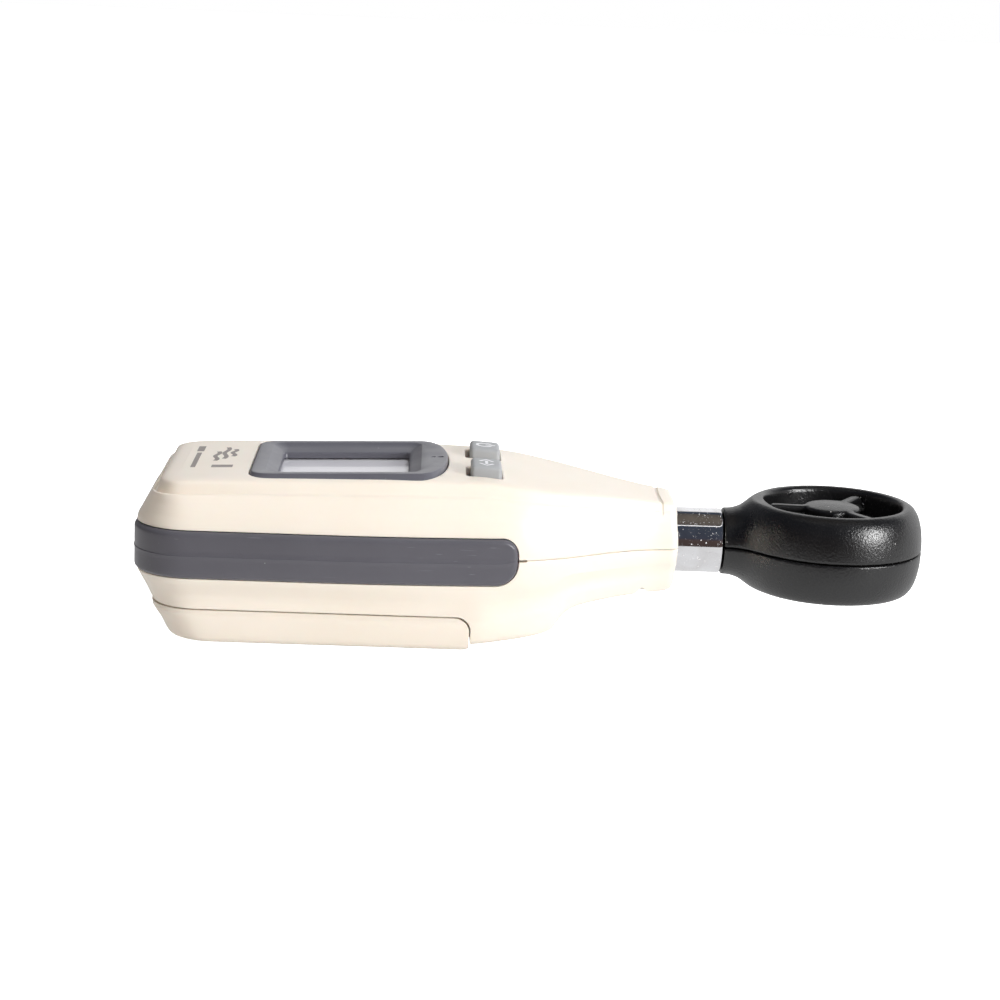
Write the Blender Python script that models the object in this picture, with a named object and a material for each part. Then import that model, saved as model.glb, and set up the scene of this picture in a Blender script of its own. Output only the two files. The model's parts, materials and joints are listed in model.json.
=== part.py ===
"""Handheld vane anemometer: case with display and keys, bright neck tube, ring head with a free impeller.

Sizes below are in millimetres in the design frame: X runs from the tail towards the head, Y across,
Z up through the display, with Z = 0 on the plane where the two halves of the case and head meet and on
the neck tube's axis. The model's origin is under the middle of the object, on the surface it lies on.
"""

import math

import bmesh
import bpy
from mathutils import Matrix, Vector

# ---- driving dimensions ----
MIDDLE_X = 85.12  # design X of the model's origin
REST_DEPTH = 20.0  # from the parting plane down to the flat of the battery cover
GAP = 0.3  # between touching pieces
HALF_GAP = GAP / 2

# Case: half-width at the parting plane, height of the top and depth of the bottom along X
TAIL_X = 2.8
NOSE_X = 115.1
TAIL_CORNER = 11.5  # plan radius at the parting plane
NOSE_CORNER = 1.6
HALF_WIDTH = ((13, 27.5), (45, 27.4), (66, 26.4), (80, 24.9), (90, 21.2), (97, 16.9), (104, 13.0),
              (111, 10.6), (116, 10.0))
LOW_HALF_WIDTH = ((13, 24.4), (72, 24.4), (80, 22.6), (90, 18.6), (97, 15.0), (104, 12.0), (111, 10.0),
                  (116, 9.4))
TOP_HEIGHT = ((2, 13.6), (12, 14.0), (22, 14.4), (45, 15.0), (60, 15.3), (72, 15.2), (80, 14.4), (90, 12.9),
              (100, 11.4), (110, 9.9), (116, 9.2))
BOTTOM_DEPTH = ((2, 18.9), (70, 18.9), (76, 18.4), (80, 18.0), (84, 17.5), (87, 16.9), (88.8, 16.1),
                (90.4, 13.9), (91.6, 12.6), (94, 11.6), (98, 10.9), (107, 9.8), (116, 9.1))
TAPER_START = 66.0
TAPER_END = 112.0
NOSE_SHARE = 0.36  # share of a level's side inset that is left at the nose
# Each level: share of the height, its inset from the sides, the tail and the nose, plan radius at the tail
UPPER_LEVELS = ((0.36, 0.8, -0.1, 0.2, 11.3), (0.58, 2.1, 1.35, 0.4, 9.6), (0.79, 4.05, 3.05, 0.7, 7.5),
                (0.84, 4.8, 4.2, 1.0, 7.4), (0.96, 6.4, 5.3, 1.9, 8.4), (0.996, 10.4, 9.2, 3.4, 9.5))
LOWER_LEVELS = ((0.6, 0.25, 2.85, 0.4, 10.0), (0.8, 0.5, 4.7, 0.6, 9.0), (0.95, 1.6, 6.6, 1.2, 8.2),
                (1.0, 4.4, 9.8, 3.2, 8.0))
CREST_LEVEL = 2  # of the upper levels: the edge of the ledge round the raised panel
LOWER_BAND_SHARE = 0.26  # depth share of the level at the band's lower edge
LOWER_BAND_INSET = 0.5

# Walls
BAND_GROOVE_INSET = 2.2
CAVITY_INSET = 3.8
TOP_WALL = 2.0
COVER_WALL = 1.8
CORE_INSET = COVER_WALL + GAP
CORE_WALL = 1.8
CORE_END_X = 75.0
CORE_TOP_Z = -3.0
CORE_SHOULDER = 2.2  # how much further in the core starts at its top
CAVITY_END_X = 103.0
CAVITY_SHOULDER_Z = 4.0
CAVITY_OVERLAP = 2.0  # how far each half's hollow runs past the parting plane

# Bumper band
BAND_PROUD = 0.55
BAND_TOP_Z = 4.5
BAND_BOTTOM_Z = -5.2
BAND_END_X = 80.9
BAND_INSET = BAND_GROOVE_INSET - GAP
BAND_BEVEL = 1.1
BAND_TOP_RADIUS = 3.3
BAND_BOTTOM_RADIUS = 4.4

# Battery cover
COVER_SPLIT_Z = -12.6
COVER_FRONT_X = 71.5
COVER_CORNER = 3.0

# Display
PANEL_TILT = math.radians(2.0)
PANEL_MIDDLE_X = 45.0
BEZEL_TAIL_X = 25.4
BEZEL_EDGE_X = 60.0
BEZEL_BULGE = 6.2
BEZEL_END_POWER = 0.93  # 1 would make the bulging end a half ellipse
BEZEL_HALF_WIDTH = 17.6
BEZEL_CORNER = 4.0
BEZEL_TOP_Z = 15.45
BEZEL_BOTTOM_Z = 13.0
BEZEL_EDGE = 0.4  # bevel of the frame's outer edge
BEZEL_OPENING_BOTTOM_Z = 8.0
FUNNEL_TAIL_X = 28.4
FUNNEL_FRONT_X = 60.4
FUNNEL_HALF_WIDTH = 15.5
FUNNEL_FOOT_Z = 14.4
WINDOW_TAIL_X = 31.0
WINDOW_FRONT_X = 57.9
WINDOW_HALF_WIDTH = 10.0
WINDOW_LEDGE = 1.2
WINDOW_THICK = 1.0

# Keys
KEY_TAIL_X = 70.9
KEY_FRONT_X = 77.3
KEY_MIDDLE_Y = 9.3
KEY_HALF_WIDTH = 4.6
KEY_TOP_Z = 17.3
KEY_SLOPE = math.radians(3.0)
KEY_FLANGE_X = (69.2, 78.3)
KEY_FLANGE_HALF_WIDTH = 4.0
KEY_FLANGE_TOP_Z = 11.5
KEY_FLANGE_BOTTOM_Z = 10.5
KEY_SLOT_TAIL_X = 69.9
KEY_SLOT_BOTTOM_Z = 5.0
KEY_BEVEL = 0.7
KEY_HEIGHT = 6.0

# Electronics
BOARD_TOP_Z = 7.6
BOARD_THICK = 1.6
BOARD_TAIL_X = 19.5
BOARD_HEAD_X = 92.0
BOARD_HALF_WIDTH = 17.0
BOARD_POSTS = ((22.5, 13.5), (83.0, 11.0))
POST_RADIUS = 2.3
POST_TOP_Z = 12.2
BOARD_SHOULDER_X = 78.0  # where the board starts to narrow towards the neck
BOARD_END_HALF_WIDTH = 9.5

# Batteries
CELL_RADIUS = 5.2
CELL_PITCH = 11.0
CELL_AXIS_Z = -12.4
CELL_LENGTH = 44.5
CELL_NUB = 0.9
POCKET_TAIL_X = 19.0
POCKET_HEAD_X = 69.4
POCKET_HALF_WIDTH = 17.2
POCKET_TOP_Z = -6.8
POCKET_WALL = 1.5
TRAY_BOTTOM_Z = -17.4
PLATE_THICK = 0.5

# Case screws
TAIL_SCREW = (14.3, 12.8)
NOSE_SCREW = (107.2, 8.4)
TAIL_SEAT_Z = -13.5
NOSE_SEAT_Z = -7.4
SCREW_TIP_Z = 5.0
BOARD_SCREW_TIP_Z = 10.8
SCREW_RADIUS = 0.75
SCREW_HOLE_RADIUS = 1.0
BOSS_RADIUS = 2.6
BOSS_GAP = 0.4  # from the parting plane to each boss's end
BOSS_BOTTOM_Z = -16.5
SCREW_HEAD_RADIUS = 1.45
SCREW_HEAD_HEIGHT = 1.2

# Neck
TUBE_RADIUS = 6.9
TUBE_WALL = 0.8
TUBE_TAIL_X = 97.0
COLLAR_X = 125.2
BUSH_RADIUS = 8.1
BUSH_TAIL_X = 108.6
BUSH_FRONT_X = 112.3
RETAINER_X = (98.4, 99.6)
RETAINER_RADIUS = 8.2

# Head
HEAD_X = 148.55
RING_RADIUS = 19.45
RING_CREST_RADIUS = 15.9  # where the ring is highest
RING_HALF_HEIGHT = 9.35
RING_ROUNDNESS = 2.2
BORE_RADIUS = 14.7
RING_LIP = ((0.6, 0.2), (0.2, 0.6), (0.0, 1.3))  # out from the bore and down from the crest
COLLAR_RADIUS = 7.1
SPIGOT_RADIUS = 5.8
SPIGOT_BORE = 4.4
SPIGOT_TAIL_X = 117.0
HUB_RADIUS = 5.8
HUB_DOME_Z = 9.05
HUB_INNER_Z = 5.0
ARM_WIDTH = 2.6
ARM_ANGLES = (57.0, 180.0, 300.0)
# Each station of an arm: radius, lower and upper Z
ARM_STATIONS = ((4.2, 6.7, 8.3), (12.4, 6.7, 8.2), (14.0, 5.4, 7.4), (15.3, 4.3, 6.4))

# Impeller
BLADE_COUNT = 8
# Each station of a blade: radius, chord and pitch in degrees
BLADE_STATIONS = ((3.8, 5.4, 50.0), (6.8, 6.4, 44.0), (10.2, 7.3, 37.0), (13.5, 7.8, 31.0))
IMPELLER_HUB_RADIUS = 4.3
IMPELLER_HUB_HALF = 4.2
AXLE_RADIUS = 0.6
JEWEL_RADIUS = 1.2

TAIL_STEPS = 3
CORNER_STEPS = 5
STRAIGHT_STEPS = 5
TAPER_STEPS = 11
NOSE_CORNER_STEPS = 2
NOSE_STEPS = 3
BEZEL_END_STEPS = 13


# ---- helpers ----
def model(x, y, z):
    """A point of the design frame in the model's metres."""
    return Vector((x - MIDDLE_X, y, z + REST_DEPTH)) / 1000


def along(stations, x):
    """The value at x on a smooth curve through the stations that never overshoots them."""
    xs = [s[0] for s in stations]
    ys = [s[1] for s in stations]
    if x <= xs[0]:
        return ys[0]
    if x >= xs[-1]:
        return ys[-1]
    slopes = [(ys[i + 1] - ys[i]) / (xs[i + 1] - xs[i]) for i in range(len(xs) - 1)]
    i = max(k for k in range(len(xs) - 1) if xs[k] <= x)

    def tangent(k):
        if k in (0, len(xs) - 1):
            return slopes[0] if k == 0 else slopes[-1]
        before, after = slopes[k - 1], slopes[k]
        return 0.0 if before * after <= 0 else 2 * before * after / (before + after)

    width = xs[i + 1] - xs[i]
    t = (x - xs[i]) / width
    start, end = ys[i], ys[i + 1]
    bend = tangent(i) * width * t * (1 - t) ** 2 - tangent(i + 1) * width * t * t * (1 - t)
    return start + (end - start) * t * t * (3 - 2 * t) + bend


def between(low, high, steps):
    """Steps + 1 values from low to high."""
    return [low + (high - low) * i / steps for i in range(steps + 1)]


def arc(centre, radius, start, end, steps):
    """Points of an arc in a plane; angles are in degrees."""
    angles = [math.radians(a) for a in between(start, end, steps)]
    return [(centre[0] + radius * math.cos(a), centre[1] + radius * math.sin(a)) for a in angles]


def finish(name, bm, material, sharp=35.0):
    """Turns the bmesh into a smooth-shaded object."""
    bmesh.ops.recalc_face_normals(bm, faces=bm.faces)
    mesh = bpy.data.meshes.new(name)
    bm.to_mesh(mesh)
    bm.free()
    mesh.shade_smooth()
    mesh.set_sharp_from_angle(angle=math.radians(sharp))
    obj = bpy.data.objects.new(name, mesh)
    bpy.context.scene.collection.objects.link(obj)
    if material:
        mesh.materials.append(material)
    else:
        obj.hide_render = True
        obj.display_type = "WIRE"
    return obj


def bridge(bm, first, second):
    """Quads between two closed rings of vertices."""
    count = len(first)
    for i in range(count):
        j = (i + 1) % count
        bm.faces.new((first[i], first[j], second[j], second[i]))


def loft(name, rings, material=None, looped=False):
    """A closed solid through rings of design points. Looped joins the last ring to the first."""
    bm = bmesh.new()
    loops = [[bm.verts.new(model(*p)) for p in ring] for ring in rings]
    for first, second in zip(loops, loops[1:]):
        bridge(bm, first, second)
    if looped:
        bridge(bm, loops[-1], loops[0])
    else:
        bm.faces.new(loops[0])
        bm.faces.new(loops[-1])
    return finish(name, bm, material)


def prism(name, outline, axis, low, high, material=None):
    """A flat outline pushed along an axis: outline points are (y, z), (x, z) or (x, y)."""
    order = {"X": lambda a, b, c: (c, a, b), "Y": lambda a, b, c: (a, c, b), "Z": lambda a, b, c: (a, b, c)}
    place = order[axis]
    return loft(name, [[place(a, b, c) for a, b in outline] for c in (low, high)], material)


def box(name, low, high, material=None, bevel=0.0):
    """A box between two corners, with bevelled edges where asked."""
    outline = [(low[0], low[1]), (high[0], low[1]), (high[0], high[1]), (low[0], high[1])]
    obj = prism(name, outline, "Z", low[2], high[2], material)
    if bevel:
        modifier = obj.modifiers.new("edges", "BEVEL")
        modifier.width = bevel / 1000
        modifier.segments = 1
    return obj


def rod(name, centre, axis, low, high, radius, material=None, sides=24):
    """A round rod along an axis; centre holds the two other coordinates."""
    return prism(name, arc(centre, radius, 0, 360 - 360 / sides, sides - 1), axis, low, high, material)


def turned(name, profile, axis, centre, material=None, sides=48):
    """A profile of (radius, position along the axis) points turned round an axis through centre."""
    bm = bmesh.new()
    spokes = {"X": lambda r, h, a: (h, r * math.cos(a), r * math.sin(a)),
              "Z": lambda r, h, a: (r * math.cos(a), r * math.sin(a), h)}
    rings = []
    for radius, height in profile:
        if radius == 0:
            point = Vector(spokes[axis](0, height, 0)) + Vector(centre)
            rings.append([bm.verts.new(model(*point))])
            continue
        angles = [2 * math.pi * i / sides for i in range(sides)]
        points = [Vector(spokes[axis](radius, height, a)) + Vector(centre) for a in angles]
        rings.append([bm.verts.new(model(*p)) for p in points])
    for first, second in zip(rings, rings[1:] + rings[:1]):
        if len(first) == 1 and len(second) == 1:
            continue
        if len(first) == 1 or len(second) == 1:
            tip, ring = (first[0], second) if len(first) == 1 else (second[0], first)
            for i in range(sides):
                bm.faces.new((ring[i], ring[(i + 1) % sides], tip))
            continue
        bridge(bm, first, second)
    return finish(name, bm, material)


def combine(obj, operation, others):
    """Boolean modifiers of one kind on an object."""
    for other in others:
        modifier = obj.modifiers.new(f"{operation.lower()}_{other.name}", "BOOLEAN")
        modifier.operation = operation
        modifier.solver = "EXACT"
        modifier.object = other


def cut(obj, *others):
    combine(obj, "DIFFERENCE", others)


def join(obj, *others):
    combine(obj, "UNION", others)


def keep(obj, *others):
    combine(obj, "INTERSECT", others)


def set_origin(obj, point):
    """Moves an object's origin to a design point and leaves its shape where it is."""
    place = model(*point)
    obj.data.transform(Matrix.Translation(-place))
    obj.location = place


def pivot(name, point, children, parent=None):
    """An empty on a joint's axis that holds the pieces that move with it."""
    empty = bpy.data.objects.new(name, None)
    bpy.context.scene.collection.objects.link(empty)
    place = model(*point)
    empty.location = place - (parent.location if parent else Vector())
    empty.parent = parent
    for child in children:
        child.parent = empty
        child.location = child.location - place
    return empty


def paint(name, colour, roughness, metallic=0.0):
    """A plain material."""
    material = bpy.data.materials.new(name)
    material.use_nodes = True
    shader = material.node_tree.nodes["Principled BSDF"]
    shader.inputs["Base Color"].default_value = (*colour, 1.0)
    shader.inputs["Roughness"].default_value = roughness
    shader.inputs["Metallic"].default_value = metallic
    return material


# ---- case outlines ----
def taper(x):
    """Share of a level's side inset at x: whole along the body, small at the nose."""
    t = min(max((x - TAPER_START) / (TAPER_END - TAPER_START), 0.0), 1.0)
    return 1 + (NOSE_SHARE - 1) * t * t * (3 - 2 * t)


def case_ring(width, height, tail_x, nose_x, corner=TAIL_CORNER):
    """A closed ring round the case: width(x) and height(x) give each point's Y and Z."""
    start_x = tail_x + corner
    edge = width(start_x) - corner
    half = [(tail_x, y) for y in between(0.0, edge, TAIL_STEPS)]
    half += arc((start_x, edge), corner, 180, 90, CORNER_STEPS)[1:]
    half += [(x, width(x)) for x in between(start_x, TAPER_START, STRAIGHT_STEPS)[1:]]
    end_x = nose_x - NOSE_CORNER
    half += [(x, width(x)) for x in between(TAPER_START, end_x, TAPER_STEPS)[1:]]
    nose_edge = width(end_x) - NOSE_CORNER
    half += arc((end_x, nose_edge), NOSE_CORNER, 90, 0, NOSE_CORNER_STEPS)[1:]
    half += [(nose_x, y) for y in between(nose_edge, 0.0, NOSE_STEPS)[1:]]
    ring = half + [(x, -y) for x, y in half[-2:0:-1]]
    return [(x, y, height(x)) for x, y in ring]


def body_ring(z, inset, nose_x=NOSE_X):
    """Flat ring of the case's outline at the parting plane, moved in by inset."""
    return case_ring(lambda x: along(HALF_WIDTH, x) - inset, lambda x: z, TAIL_X + inset, nose_x)


def upper_ring(level, wall=0.0, nose_x=NOSE_X):
    """Ring of the upper case at a level, moved in and down by wall."""
    share, side, tail, nose, corner = level
    return case_ring(
        lambda x: along(HALF_WIDTH, x) - side * taper(x) - wall,
        lambda x: share * along(TOP_HEIGHT, x) - wall,
        TAIL_X + tail + wall,
        nose_x - nose,
        corner,
    )


def lower_ring(level, depth, wall=0.0, nose_x=NOSE_X):
    """Ring of the lower case at a level of depth(x), moved in by wall."""
    share, side, tail, nose, corner = level
    return case_ring(
        lambda x: along(LOW_HALF_WIDTH, x) - side * taper(x) - wall,
        lambda x: -share * depth(x),
        TAIL_X + tail + wall,
        nose_x - nose,
        corner,
    )


def lower_band_ring():
    """Ring of the lower case at the band's lower edge."""
    return case_ring(
        lambda x: along(HALF_WIDTH, x) - LOWER_BAND_INSET * taper(x),
        lambda x: -LOWER_BAND_SHARE * shell_depth(x),
        TAIL_X + LOWER_BAND_INSET,
        NOSE_X - LOWER_BAND_INSET / 2,
    )


def top_height(x):
    return along(TOP_HEIGHT, x)


def shell_depth(x):
    return along(BOTTOM_DEPTH, x)


def cavity_depth(x):
    """Depth of the rear shell's inside: it clears the battery cover's recess and the sloping heel."""
    return min(shell_depth(x) - CORE_WALL, REST_DEPTH - CORE_INSET - CORE_WALL)


def crowned(name, rings, crown, material=None):
    """A case solid through rings; its last ring is closed over a middle line at height crown(x)."""
    bm = bmesh.new()
    loops = [[bm.verts.new(model(*p)) for p in ring] for ring in rings]
    for first, second in zip(loops, loops[1:]):
        bridge(bm, first, second)
    bm.faces.new(loops[0])
    last = loops[-1]
    half = len(last) // 2
    start = TAIL_STEPS + 1
    end = half - NOSE_STEPS - 1
    xs = [point[0] for point in rings[-1]]
    middle = {i: bm.verts.new(model(xs[i], 0.0, crown(xs[i]))) for i in range(start, end + 1)}
    for side in (1, -1):
        bm.faces.new([last[side * i] for i in range(start + 1)] + [middle[start]])
        for i in range(start, end):
            bm.faces.new((last[side * i], last[side * (i + 1)], middle[i + 1], middle[i]))
        bm.faces.new([last[side * i] for i in range(end, half)] + [last[half], middle[end]])
    return finish(name, bm, material)


# ---- case ----
def side_view(name, low_z, high_z, front_x, low_radius, high_radius):
    """A block across the whole width, with rounded front corners in side view, open towards the tail."""
    outline = [(-20.0, high_z), (-20.0, low_z)]
    if low_radius:
        outline += arc((front_x - low_radius, low_z + low_radius), low_radius, -90, 0, 4)
    else:
        outline += [(front_x, low_z)]
    outline += arc((front_x - high_radius, high_z - high_radius), high_radius, 0, 90, 4)
    return prism(name, outline, "Y", -40.0, 40.0)


def band_strip(name, section, grow, material=None):
    """A strip round the case with the given section of (inset, z), kept up to the band's rounded ends."""
    strip = loft(name, [body_ring(z, inset) for inset, z in section], material, looped=True)
    clear = grow + GAP / 10  # keeps the ends' block off the strip's own flat edges
    keep(strip, side_view(f"{name}_ends", BAND_BOTTOM_Z - clear, BAND_TOP_Z + clear, BAND_END_X + grow,
                          BAND_BOTTOM_RADIUS + grow, BAND_TOP_RADIUS + grow))
    return strip


def make_bumper_band(grey):
    rounded = BAND_BEVEL - BAND_PROUD
    section = ((-BAND_PROUD, BAND_BOTTOM_Z + BAND_BEVEL / 2), (-BAND_PROUD, BAND_TOP_Z - BAND_BEVEL / 2),
               (rounded, BAND_TOP_Z), (BAND_INSET, BAND_TOP_Z), (BAND_INSET, BAND_BOTTOM_Z),
               (rounded, BAND_BOTTOM_Z))
    return band_strip("bumper_band", section, 0.0, grey)


def cut_band_groove(shell):
    low, high = BAND_BOTTOM_Z - GAP, BAND_TOP_Z + GAP
    outside = -3.0
    section = ((outside, low), (outside, high), (BAND_GROOVE_INSET, high), (BAND_GROOVE_INSET, low))
    cut(shell, band_strip(f"{shell.name}_band_groove", section, GAP))


def cut_neck(shell):
    """The tube's hole through the nose, with the pocket that holds the bush."""
    cut(shell, rod(f"{shell.name}_tube_hole", (0, 0), "X", RETAINER_X[0] - 0.4, NOSE_X + 4.0, TUBE_RADIUS + GAP,
                   sides=32))
    cut(shell, rod(f"{shell.name}_bush_pocket", (0, 0), "X", BUSH_TAIL_X - GAP, BUSH_FRONT_X + GAP,
                   BUSH_RADIUS + GAP, sides=32))


def make_front_shell(cream):
    rings = [body_ring(HALF_GAP, 0.0)] + [upper_ring(level) for level in UPPER_LEVELS]
    shell = crowned("front_shell", rings, top_height, cream)
    cavity_rings = [body_ring(z, CAVITY_INSET, CAVITY_END_X) for z in (-CAVITY_OVERLAP, CAVITY_SHOULDER_Z)]
    cavity_rings += [upper_ring(level, TOP_WALL, CAVITY_END_X)
                     for level in (UPPER_LEVELS[CREST_LEVEL], UPPER_LEVELS[-1])]
    cut(shell, crowned("front_cavity", cavity_rings, lambda x: top_height(x) - TOP_WALL))
    for side in (1, -1):
        for i, (x, y) in enumerate(BOARD_POSTS):
            join(shell, rod(f"post_{i}_{side}", (x, side * y), "Z", BOARD_TOP_Z + GAP, POST_TOP_Z, POST_RADIUS))
            cut(shell, rod(f"post_hole_{i}_{side}", (x, side * y), "Z", BOARD_TOP_Z - 1, POST_TOP_Z - 1,
                           SCREW_HOLE_RADIUS, sides=12))
        boss_x, boss_y = TAIL_SCREW
        join(shell, rod(f"front_boss_{side}", (boss_x, side * boss_y), "Z", BOSS_GAP, POST_TOP_Z, BOSS_RADIUS))
        for i, (x, y) in enumerate((TAIL_SCREW, NOSE_SCREW)):
            cut(shell, rod(f"pilot_{i}_{side}", (x, side * y), "Z", -1.0, SCREW_TIP_Z + 1, SCREW_HOLE_RADIUS,
                           sides=12))
        key_low = side * KEY_MIDDLE_Y - KEY_HALF_WIDTH - GAP
        key_high = side * KEY_MIDDLE_Y + KEY_HALF_WIDTH + GAP
        cut(shell, box(f"key_slot_{side}", (KEY_SLOT_TAIL_X, key_low, KEY_SLOT_BOTTOM_Z),
                       (KEY_FRONT_X + GAP, key_high, KEY_TOP_Z + 1)))
    cut(shell, loft("bezel_opening", [bezel_ring(-GAP, z) for z in (BEZEL_OPENING_BOTTOM_Z, BEZEL_TOP_Z + 4)]))
    cut_band_groove(shell)
    cut_neck(shell)
    return shell


def cover_form(name, inset):
    """The battery cover's form moved in: its own inside, or the rear shell's skin under it."""
    rings = [body_ring(CORE_TOP_Z, inset + CORE_SHOULDER, CORE_END_X)]
    rings += [lower_ring(level, lambda x: REST_DEPTH - inset, inset, CORE_END_X) for level in LOWER_LEVELS]
    return crowned(name, rings, lambda x: inset - REST_DEPTH)


def cover_zone(name, grow):
    """The region that belongs to the battery cover, grown by a gap."""
    return side_view(name, -40.0, COVER_SPLIT_Z + grow, COVER_FRONT_X + grow, 0.0, COVER_CORNER)


def make_rear_shell(cream):
    rings = [body_ring(-HALF_GAP, 0.0), lower_band_ring()]
    rings += [lower_ring(level, shell_depth) for level in LOWER_LEVELS]
    shell = crowned("rear_shell", rings, lambda x: -shell_depth(x), cream)
    cut(shell, cover_zone("cover_recess", GAP))
    core = cover_form("rear_core", CORE_INSET)
    join(shell, core)
    wall = CORE_INSET + CORE_WALL
    cavity_rings = [body_ring(CAVITY_OVERLAP, CAVITY_INSET, CAVITY_END_X)]
    cavity_rings += [body_ring(BAND_BOTTOM_Z, CAVITY_INSET + LOWER_BAND_INSET, CAVITY_END_X)]
    cavity_rings += [lower_ring(LOWER_LEVELS[i], cavity_depth, wall, CAVITY_END_X) for i in (0, 2)]
    cut(shell, crowned("rear_cavity", cavity_rings, lambda x: -cavity_depth(x)))

    tray = box("tray", (POCKET_TAIL_X - POCKET_WALL, -POCKET_HALF_WIDTH - POCKET_WALL, TRAY_BOTTOM_Z),
               (POCKET_HEAD_X + POCKET_WALL, POCKET_HALF_WIDTH + POCKET_WALL, POCKET_TOP_Z + POCKET_WALL))
    keep(tray, core)
    join(shell, tray)
    below = -REST_DEPTH - 10
    cut(shell, box("pocket", (POCKET_TAIL_X, -POCKET_HALF_WIDTH, below),
                   (POCKET_HEAD_X, POCKET_HALF_WIDTH, POCKET_TOP_Z)))
    for side in (1, -1):
        boss_x, boss_y = TAIL_SCREW
        join(shell, rod(f"rear_boss_{side}", (boss_x, side * boss_y), "Z", BOSS_BOTTOM_Z, -BOSS_GAP,
                        BOSS_RADIUS))
        for i, ((x, y), seat) in enumerate(((TAIL_SCREW, TAIL_SEAT_Z), (NOSE_SCREW, NOSE_SEAT_Z))):
            cut(shell, rod(f"screw_hole_{i}_{side}", (x, side * y), "Z", below, SCREW_TIP_Z, SCREW_HOLE_RADIUS,
                           sides=12))
            cut(shell, rod(f"screw_recess_{i}_{side}", (x, side * y), "Z", below, seat,
                           SCREW_HEAD_RADIUS + GAP, sides=20))
    cut_band_groove(shell)
    cut_neck(shell)
    return shell


def make_battery_cover(cream):
    rings = [lower_band_ring()] + [lower_ring(level, lambda x: REST_DEPTH) for level in LOWER_LEVELS]
    cover = crowned("battery_cover", rings, lambda x: -REST_DEPTH, cream)
    keep(cover, cover_zone("cover_region", 0.0))
    cut(cover, cover_form("cover_inside", COVER_WALL))
    set_origin(cover, (COVER_FRONT_X, 0.0, -REST_DEPTH))
    return cover


# ---- display and keys ----
def tilted(x, z):
    """Height z at the display's middle, followed along the display's tilt."""
    return z + math.tan(PANEL_TILT) * (x - PANEL_MIDDLE_X)


def display_ring(tail_x, front_x, bulge, half_width, corner, z):
    """Tilted outline with rounded tail corners; its front end bulges towards the keys or is straight."""
    inner_y = half_width - corner
    points = arc((tail_x + corner, -inner_y), corner, 270, 180, 3)
    points += arc((tail_x + corner, inner_y), corner, 180, 90, 3)
    for angle in between(math.pi / 2, -math.pi / 2, BEZEL_END_STEPS):
        reach = max(math.cos(angle), 0.0) ** BEZEL_END_POWER
        across = math.copysign(abs(math.sin(angle)) ** BEZEL_END_POWER, angle)
        points.append((front_x + bulge * reach, half_width * across))
    return [(x, y, tilted(x, z)) for x, y in points]


def bezel_ring(inset, z):
    """The display frame's outline moved in by inset."""
    return display_ring(BEZEL_TAIL_X + inset, BEZEL_EDGE_X, BEZEL_BULGE - inset, BEZEL_HALF_WIDTH - inset,
                        BEZEL_CORNER, z)


def make_display(grey, clear, glass, white, rubber):
    funnel = (FUNNEL_TAIL_X, FUNNEL_FRONT_X, 0.0, FUNNEL_HALF_WIDTH, 1.6)
    opening = (WINDOW_TAIL_X, WINDOW_FRONT_X, 0.0, WINDOW_HALF_WIDTH, 0.8)
    rings = [bezel_ring(0.0, BEZEL_BOTTOM_Z), bezel_ring(0.0, BEZEL_TOP_Z - BEZEL_EDGE),
             bezel_ring(BEZEL_EDGE, BEZEL_TOP_Z), display_ring(*funnel, BEZEL_TOP_Z - 0.05),
             display_ring(*opening, FUNNEL_FOOT_Z), display_ring(*opening, BEZEL_BOTTOM_Z)]
    loft("lcd_bezel", rings, grey, looped=True)
    edge_x = (WINDOW_TAIL_X - WINDOW_LEDGE, WINDOW_FRONT_X + WINDOW_LEDGE)
    edge_y = WINDOW_HALF_WIDTH + WINDOW_LEDGE
    corners = [(edge_x[0], -edge_y), (edge_x[1], -edge_y), (edge_x[1], edge_y), (edge_x[0], edge_y)]
    window_top = BEZEL_BOTTOM_Z - GAP
    loft("lcd_window", [[(x, y, tilted(x, z)) for x, y in corners]
                        for z in (window_top - WINDOW_THICK, window_top)], clear)
    box("lcd_cell", (30.5, -11.0, 9.6), (58.5, 11.0, 10.8), glass)
    box("backlight_panel", (31.0, -10.5, 8.2), (56.0, 10.5, 9.3), white, 0.2)
    box("zebra_strip", (56.6, -10.5, 7.9), (58.4, 10.5, 9.3), rubber)


def make_key(name, middle_y, grey):
    """A key with a retaining flange; its origin is in the middle of its top."""
    fall = math.tan(KEY_SLOPE) * (KEY_FRONT_X - KEY_TAIL_X)
    low_y, high_y = middle_y - KEY_HALF_WIDTH, middle_y + KEY_HALF_WIDTH
    rings = []
    for inset, drop in ((0.0, KEY_HEIGHT), (0.0, KEY_BEVEL), (KEY_BEVEL, 0.0)):
        tail_x, front_x = KEY_TAIL_X + inset, KEY_FRONT_X - inset
        top = KEY_TOP_Z - drop
        rings.append([(tail_x, low_y + inset, top), (front_x, low_y + inset, top - fall),
                      (front_x, high_y - inset, top - fall), (tail_x, high_y - inset, top)])
    key = loft(name, rings, grey)
    flange = box(f"{name}_flange", (KEY_FLANGE_X[0], middle_y - KEY_FLANGE_HALF_WIDTH, KEY_FLANGE_BOTTOM_Z),
                 (KEY_FLANGE_X[1], middle_y + KEY_FLANGE_HALF_WIDTH, KEY_FLANGE_TOP_Z))
    join(key, flange)
    set_origin(key, ((KEY_TAIL_X + KEY_FRONT_X) / 2, middle_y, KEY_TOP_Z))
    return key


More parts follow.
